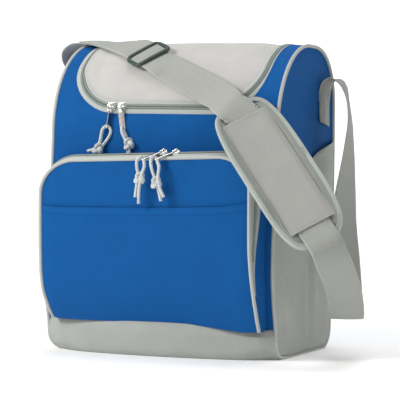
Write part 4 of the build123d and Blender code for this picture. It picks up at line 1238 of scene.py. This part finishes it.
def knot_piece(name, centre, hang, body, replaced):
    """An overhand knot in two strands: two tubes side by side round a trefoil, drawn up tight."""
    hang = Vector(hang).normalized()
    side = hang.cross(Vector((0, -1, 0))).normalized()
    front = side.cross(hang)
    parts = []
    for shift in (-0.62, 0.62):
        points = []
        for t in circle(72):
            a = (math.sin(t) + 2 * math.sin(2 * t)) * 1.62 * (1 + 0.08 * shift)
            b = (math.cos(t) - 2 * math.cos(2 * t)) * 1.72 * (1 + 0.08 * shift)
            c = -math.sin(3 * t) * 2.4
            off = side * (a + shift * 0.6) + hang * (b + shift) + front * (c + shift * 0.7)
            points.append(Vector(centre) + off)
        parts.append(tube_parts(points, KNOT_TUBE, front, closed=True, count=12))
    return dress(settle(join_meshes(name, parts), 70), body, "cord", [replaced])


for key, (node, centre, hang, routes) in CORDS.items():
    where, word = key.split("_")
    body = f"{where}_pull_{word}"
    knot = knot_piece(f"{key}_knot", centre, hang, body, f"{where}_knot_{word}")
    for number, route in enumerate(routes):
        curve = bpy.data.curves.new(f"{key}_cord_{number}", "CURVE")
        curve.dimensions = "3D"
        curve.bevel_depth = CORD_DIAMETER / 2 * MM
        curve.bevel_resolution = 4
        curve.resolution_u = 12
        curve.use_fill_caps = True
        spline = curve.splines.new("NURBS")
        spline.points.add(len(route) - 1)
        for spot, place in zip(spline.points, route):
            spot.co = (*[c * MM for c in place], 1)
        spline.order_u = 3
        spline.use_endpoint_u = True
        strand = bpy.data.objects.new(f"{key}_cord_{number}", curve)
        scene.collection.objects.link(strand)
        first = number == 0
        dress(strand, body, "cord", [node] if first else ())
        [c * MM for c in route[0]]

# ---- shoulder strap ------------------------------------------------------------------------
GLIDE = Vector((-35.5, -50.0, 335.5))
GLIDE_ALONG = Vector((0.81, -0.49, -0.32)).normalized()
GLIDE_ACROSS = Vector((0.573, 0.667, 0.460))
PAD = Vector((152.3, -129.0, 210.0))
PAD_ALONG = Vector((0.619, -0.212, -0.756)).normalized()
PAD_ACROSS = Vector((0.733, 0.501, 0.460))
PAD_ACROSS = (PAD_ACROSS - PAD_ALONG * PAD_ACROSS.dot(PAD_ALONG)).normalized()
PAD_OUT = PAD_ALONG.cross(PAD_ACROSS)


def turned(degrees):
    return (math.cos(math.radians(degrees)), math.sin(math.radians(degrees)), 0)


def run_from(centre, direction, distance, width):
    return (*(centre + direction * distance), *width)


# rows of the strap's route: a point and the direction of its width
LEFT_RISE = [(-137.6, 59, 286, 0, 1, 0), (-138.6, 59, 296, 0, 1, 0), (-141.5, 59, 303.5, 0, 1, 0),
             (-147, 58, 309, 0, 1, 0), (-163, 52, 318, 0.05, 0.99, 0.1), (-172, 42, 332, 0.2, 0.97, 0.1),
             (-168, 30, 345, 0.35, 0.93, 0.1), (-152, 18, 352, 0.42, 0.9, 0.05),
             (-134, 7, 353, 0.46, 0.88, 0.04), (-112, -5, 350.8, 0.5, 0.86, 0.06),
             (-84, -20, 347.8, 0.55, 0.79, 0.26)]
OVER_LID = [(-3, -66, 322, 0.53, 0.59, 0.61), (23, -75.5, 310.5, 0.53, 0.50, 0.68),
            (47, -83.5, 300, 0.55, 0.44, 0.71), (60, -90, 294, 0.60, 0.45, 0.66),
            (73, -98.5, 289, 0.66, 0.47, 0.58), (88.5, -112, 280, 0.72, 0.50, 0.48)]
RIGHT_LOOP = [(219, -139, 115.5, 0.80, 0.47, 0.37), (218.5, -116, 98, 0.86, 0.42, 0.27),
              (215.5, -90, 78.5, 0.90, 0.40, 0.17), (210, -65, 59.5, 0.92, 0.38, 0.08),
              (204, -46, 48, *turned(22)), (200, -36.5, 45.5, *turned(22)), (197, -27.5, 51, *turned(22)),
              (192, -16, 67, *turned(25)), (185, -2, 103, *turned(38)), (180, 8, 148, *turned(58)),
              (178.5, 20, 190, *turned(76)), (177.5, 32, 231, *turned(92)), (174, 44, 265, *turned(103)),
              (167, 52, 290, *turned(106)), (158, 57, 306, *turned(98)), (149.5, 59, 311.5, *turned(91)),
              (142.5, 59, 308, 0, 1, 0), (138.8, 59, 298, 0, 1, 0), (137.6, 59, 286, 0, 1, 0)]
STRAP = (LEFT_RISE + [run_from(GLIDE, GLIDE_ALONG, d, GLIDE_ACROSS) for d in (-26, 26)] + OVER_LID
         + [run_from(PAD, PAD_ALONG, d, PAD_ACROSS) for d in (-79, -50, 0, 50, 78, 103)] + RIGHT_LOOP)
strap_line = smooth_path(STRAP, 3.0)


def webbing_piece(name, line, body, replaced=(), start_run=0.0, lift=0.0):
    """Webbing along rows of the route, slightly cupped, with rounded selvages. Returns its last run."""
    points = [Vector(row[:3]) for row in line]
    last, across = len(points) - 1, np.linspace(-1, 1, 13)
    section = [(a * (WEB_HALF - 0.5), WEB_THICK / 2 - WEB_CUP * a * a + lift) for a in across]
    section.append((WEB_HALF, lift - WEB_CUP))
    section += [(a * (WEB_HALF - 0.5), -WEB_THICK / 2 - WEB_CUP * a * a + lift) for a in across[::-1]]
    section.append((-WEB_HALF, lift - WEB_CUP))
    verts, flat = [], []
    runs = run_of(points) + start_run
    for i, (point, row, run) in enumerate(zip(points, line, runs)):
        along = (points[min(i + 1, last)] - points[max(i - 1, 0)]).normalized()
        side = Vector(row[3:6])
        side = (side - along * side.dot(along)).normalized()
        out = along.cross(side)
        verts += [point + side * a + out * b for a, b in section]
        flat += [(a + WEB_FLAT_MIDDLE, run) for a, _ in section]
    piece = make_object(name, verts, tube_faces(len(points), len(section)), flat, flip=True)
    dress(settle(piece, 60), body, "webbing", replaced)
    return runs[-1]


def nearest_row(point):
    return int(np.argmin(np.linalg.norm(strap_line[:, :3] - np.array(point), axis=1)))


LEFT_BLEND = ("bag", "strap", (-0.140, 0.058, 0.303), (-0.066, -0.030, 0.346))
RIGHT_BLEND = ("bag", "strap", (0.141, 0.058, 0.300), (0.205, -0.070, 0.062))
left_cut = nearest_row(GLIDE - GLIDE_ALONG * 22)
right_cut = nearest_row(PAD + PAD_ALONG * 96)
run = webbing_piece("strap_left", strap_line[:left_cut + 1], LEFT_BLEND, ["strap_webbing"])
run = webbing_piece("strap_middle", strap_line[left_cut:right_cut + 1], "strap", start_run=run)
webbing_piece("strap_right", strap_line[right_cut:], RIGHT_BLEND, start_run=run)
tail_from, tail_to = nearest_row((-134, 7, 355)), nearest_row(GLIDE + GLIDE_ALONG * 12)
webbing_piece("strap_tail_cloth", strap_line[tail_from:tail_to], LEFT_BLEND, ["strap_tail"], lift=1.6)

# anchors: webbing folded under and sewn to the sides with a crossed box of thread
ANCHOR_Y = np.linspace(40.2, 77.8, 13)
ANCHOR_MARKS = ((260.0, 0.0, -0.15), (259.6, 1.0, -0.15), (260.6, 1.5, -0.15), (265, 1.4, -0.1),
                (272, 1.1, -0.05), (280, 1.0, 0), (287, 1.1, 0), (294, 1.2, 0))    # (height, lift, slant)
ANCHOR_BOX = ((43.5, 264.5), (74.5, 262.0), (74.5, 284.0), (43.5, 284.0), (43.5, 264.5), (74.5, 284.0),
              (74.5, 262.0), (43.5, 284.0))     # (y, z) of its four sides and two diagonals
walk = [(y0 + (y1 - y0) * t, z0 + (z1 - z0) * t) for (y0, z0), (y1, z1) in zip(ANCHOR_BOX, ANCHOR_BOX[1:])
        for t in np.linspace(0, 1, 8, endpoint=False)]
for word, side in SIDES:
    rows = [[Vector((side * (side_point(y, z, 1).x + 1.1 + lift), y, z + slant * (y - 59))) for y in ANCHOR_Y]
            for z, lift, slant in ANCHOR_MARKS]
    flat = [[(y, k * 6.0) for y in ANCHOR_Y] for k in range(len(rows))]
    piece = grid_piece(f"anchor_{word}", rows, flat, thick=1.3, flip=side < 0)
    dress(piece, "bag", "webbing", [f"strap_anchor_{word}"])
    stitches(f"anchor_stitch_{word}", [Vector((side * (side_point(y, z, 1).x + 2.6), y, z)) for y, z in walk],
             Vector((side, 0, 0)), "bag", "webbing", pitch=2.8, length=2.0, radius=0.3)

# ---- tri-glide -----------------------------------------------------------------------------
glide_across = (GLIDE_ACROSS - GLIDE_ALONG * GLIDE_ACROSS.dot(GLIDE_ALONG)).normalized()
glide_out = GLIDE_ALONG.cross(glide_across)


def glide_place(a, b, h):
    return GLIDE + glide_across * a + GLIDE_ALONG * b + glide_out * h


def rounded_box(half_a, half_b, radius):
    made = []
    for a, b, start in ((1, 1, 0), (-1, 1, 90), (-1, -1, 180), (1, -1, 270)):
        made += arc_points((a * (half_a - radius), b * (half_b - radius)), radius, start, start + 90, 7)
    return made


frame_path = []
for a, b in dense(rounded_box(22.0, 12.0, 5.6), 2.5):
    rise = 3.0 - 1.2 * step_up(abs(a), 17, 22) + 0.5 * (1 - (a / 22) ** 2)
    frame_path.append(glide_place(a, b, rise))
bar = [glide_place(a, 0, -0.9 - 1.0 * (1 - (a / 21) ** 4) + 1.8 * step_up(abs(a), 18.5, 21.5))
       for a in np.linspace(-21.4, 21.4, 22)]
parts = [tube_parts(frame_path, 2.5, glide_out, closed=True, count=12, flatten=0.8),
         tube_parts(bar, 1.7, glide_out, count=12, flatten=0.6)]
dress(settle(join_meshes("tri_glide_frame", parts), 60), "tri_glide", "buckle", ["tri_glide"])

# ---- shoulder pad --------------------------------------------------------------------------
PAD_HALF, PAD_LONG = 38.5, 93.0


def pad_outline(grow=0.0, count=96):
    """The pad's outline: straight sides and full rounded ends."""
    half, long = PAD_HALF + grow, PAD_LONG + grow
    return [(half * squared(math.cos(t), 0.40), long * squared(math.sin(t), 0.66)) for t in circle(count)]


PAD_EDGE = np.array(pad_outline(0.0, 240))


def pad_gap(a, b):
    return float(np.min(np.hypot(PAD_EDGE[:, 0] - a, PAD_EDGE[:, 1] - b)))


def pad_sag(a, b):
    """The pad hangs in a soft curve: its near edge rides up over the pocket's corner."""
    near = step_up(-a, 19, 42)
    return 7.5 * near * (1 - step_up(b, 20, 80)) + 3.0 * near - 1.5 * step_up(b, 76, 92)


def pad_place(a, b, h):
    return PAD + PAD_ACROSS * a + PAD_ALONG * b + PAD_OUT * (h + pad_sag(a, b))


def pad_front(a, b, lift=0.0):
    gap = pad_gap(a, b)
    ridge = 1.0 * math.exp(-((gap - 9.2) / 1.1) ** 2) - 1.2 * math.exp(-((gap - 11.6) / 0.8) ** 2)
    under_sleeve = -2.2 * (1 - step_up(abs(a), 21.5, 26.5))
    crease = 0.3 * crumple(a, b, 3.3, 30)
    return pad_place(a, b, -1.5 + 1.4 * step_up(gap, 2, 5) + ridge + under_sleeve + lift + crease)


def pad_rear(a, b):
    gap = pad_gap(a, b)
    return pad_place(a, b, -6.4 - 2.4 * step_up(gap, 0, 12) + 0.9 * math.exp(-((gap - 11.6) / 1.3) ** 2))


outline = pad_outline(-1.0)
flat, faces = cut_flat(outline, 3.2)
count, edge_count = len(flat), len(dense(outline, 3.2))
verts = [pad_front(a, b) for a, b in flat] + [pad_rear(a, b) for a, b in flat]
faces += [tuple(i + count for i in face[::-1]) for face in faces]
faces += [(i, (i + 1) % edge_count, count + (i + 1) % edge_count, count + i)[::-1] for i in range(edge_count)]
pad = settle(make_object("pad_cushion", verts, faces, flat + flat), 60)
dress(pad, "shoulder_pad", "pad_cloth", ["pad_base"])

edge_path = [pad_place(a, b, -3.9) for a, b in dense(pad_outline(-0.6), 2.5)]
piece = swept("pad_edge_binding", edge_path, ring(1.9, 3.9, 16), PAD_OUT, closed=True)
dress(piece, "shoulder_pad", "binding", ["pad_binding"])
LIP_MARKS = ((-0.6, -0.9), (-1.2, 0.15), (-2.2, 0.4), (-3.2, 0.4), (-3.8, -0.4))       # (grow, rise)
for lip, sign, h in (("front", 1, -0.55), ("rear", -1, -7.6)):
    rows = [[pad_place(a, b, h + sign * rise) for a, b in pad_outline(grow, 140)] for grow, rise in LIP_MARKS]
    flat = [[(k * 1.5, j * 3.6) for j in range(140)] for k in range(len(rows))]
    piece = grid_piece(f"pad_binding_{lip}", rows, flat, closed=True, thick=0.5, flip=lip == "rear")
    dress(piece, "shoulder_pad", "binding")
for grow, name in ((-5.6, "pad_stitch_edge"), (-9.2, "pad_stitch_quilt")):
    line = pad_outline(grow, 160)
    line.append(line[0])
    stitches(name, [pad_front(a, b, 0.15) for a, b in line], PAD_OUT, "shoulder_pad", "pad_cloth", pitch=3.0,
             length=2.1)

SLEEVE_HALF, SLEEVE_LONG = 26.6, 75.0


def sleeve_point(a, b, lift=0.0):
    """The flat sleeve over the webbing, its long edges sewn down."""
    edge = SLEEVE_HALF - abs(a)
    rise = 1.8 * step_up(edge, 0, 7) + 0.5 * crumple(a, b, 6.6, 60) * step_up(edge, 4, 12)
    return pad_place(a, b, 0.6 + rise + lift)


columns = [float(a) for a in np.linspace(-SLEEVE_HALF, SLEEVE_HALF, 41)]
flat = [[(a, float(b)) for a in columns] for b in np.linspace(-SLEEVE_LONG, SLEEVE_LONG, 80)]
rows = [[sleeve_point(a, b) for a, b in row] for row in flat]
sleeve = grid_piece("sleeve_cloth", rows, flat, thick=1.3, flip=True)
dress(sleeve, "shoulder_pad", "light_cloth", ["pad_sleeve"], PAINTS["sleeve_cloth"])
seam_b = [float(b) for b in np.linspace(-SLEEVE_LONG + 1, SLEEVE_LONG - 1, 50)]
seam_a = [float(a) for a in np.linspace(-SLEEVE_HALF + 1, SLEEVE_HALF - 1, 24)]
for side in (-1, 1):
    for name, spots in (("sleeve_stitch", [(side * (SLEEVE_HALF - 2.6), b) for b in seam_b]),
                        ("sleeve_end_stitch", [(a, side * (SLEEVE_LONG - 3.4)) for a in seam_a])):
        stitches(f"{name}_{side + 1}", [sleeve_point(a, b, 0.1) for a, b in spots], PAD_OUT, "shoulder_pad",
                 "light_cloth")

# ---- stiff base board keeps its own shape --------------------------------------------------
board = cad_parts["base_board"]
board.data.materials.clear()
board.data.materials.append(PAINTS["board"])

# ---- backdrop: a floor that curves up into a wall, clear of a camera anywhere round the bag ------
WALL_FROM, WALL_ARC, WALL_TOP = 9.0, 1.5, 8.0       # metres
sweep = [(-14.0, 0.0)] + [(y, 0.0) for y in np.linspace(-6, WALL_FROM, 16)]
sweep += [(WALL_FROM + WALL_ARC * math.sin(a), WALL_ARC - WALL_ARC * math.cos(a))
          for a in np.linspace(0.08, math.pi / 2, 20)]
sweep.append((WALL_FROM + WALL_ARC, WALL_TOP))
rows = [[Vector((x / MM, y / MM, z / MM - 0.3)) for x in (-14, -5, 0, 5, 14)] for y, z in sweep]
backdrop = grid_piece("backdrop", rows, crease=180)
studio = Paint("studio_floor", (0.93, 0.93, 0.93), 0.9)
socket(studio.shader, "Emission Color", (1, 1, 1, 1))
_, depth, height = studio.add("ShaderNodeSeparateXYZ", Vector=studio.solid_place()).outputs
behind = studio.sum(height, studio.times(depth, 0.15))
before = studio.math("SUBTRACT", studio.times(depth, -0.15), 0.2)
climb = studio.math("MAXIMUM", studio.math("MAXIMUM", behind, before), 0.0)
studio.feed(studio.shader.inputs["Emission Strength"], studio.sum(studio.math("MINIMUM", climb, 0.5), 0.16))
studio.tint(studio.noise(studio.solid_place(), 1.5, 2.0), 0.995, 1.005)
backdrop.data.materials.append(studio.material)

bpy.context.view_layer.update()
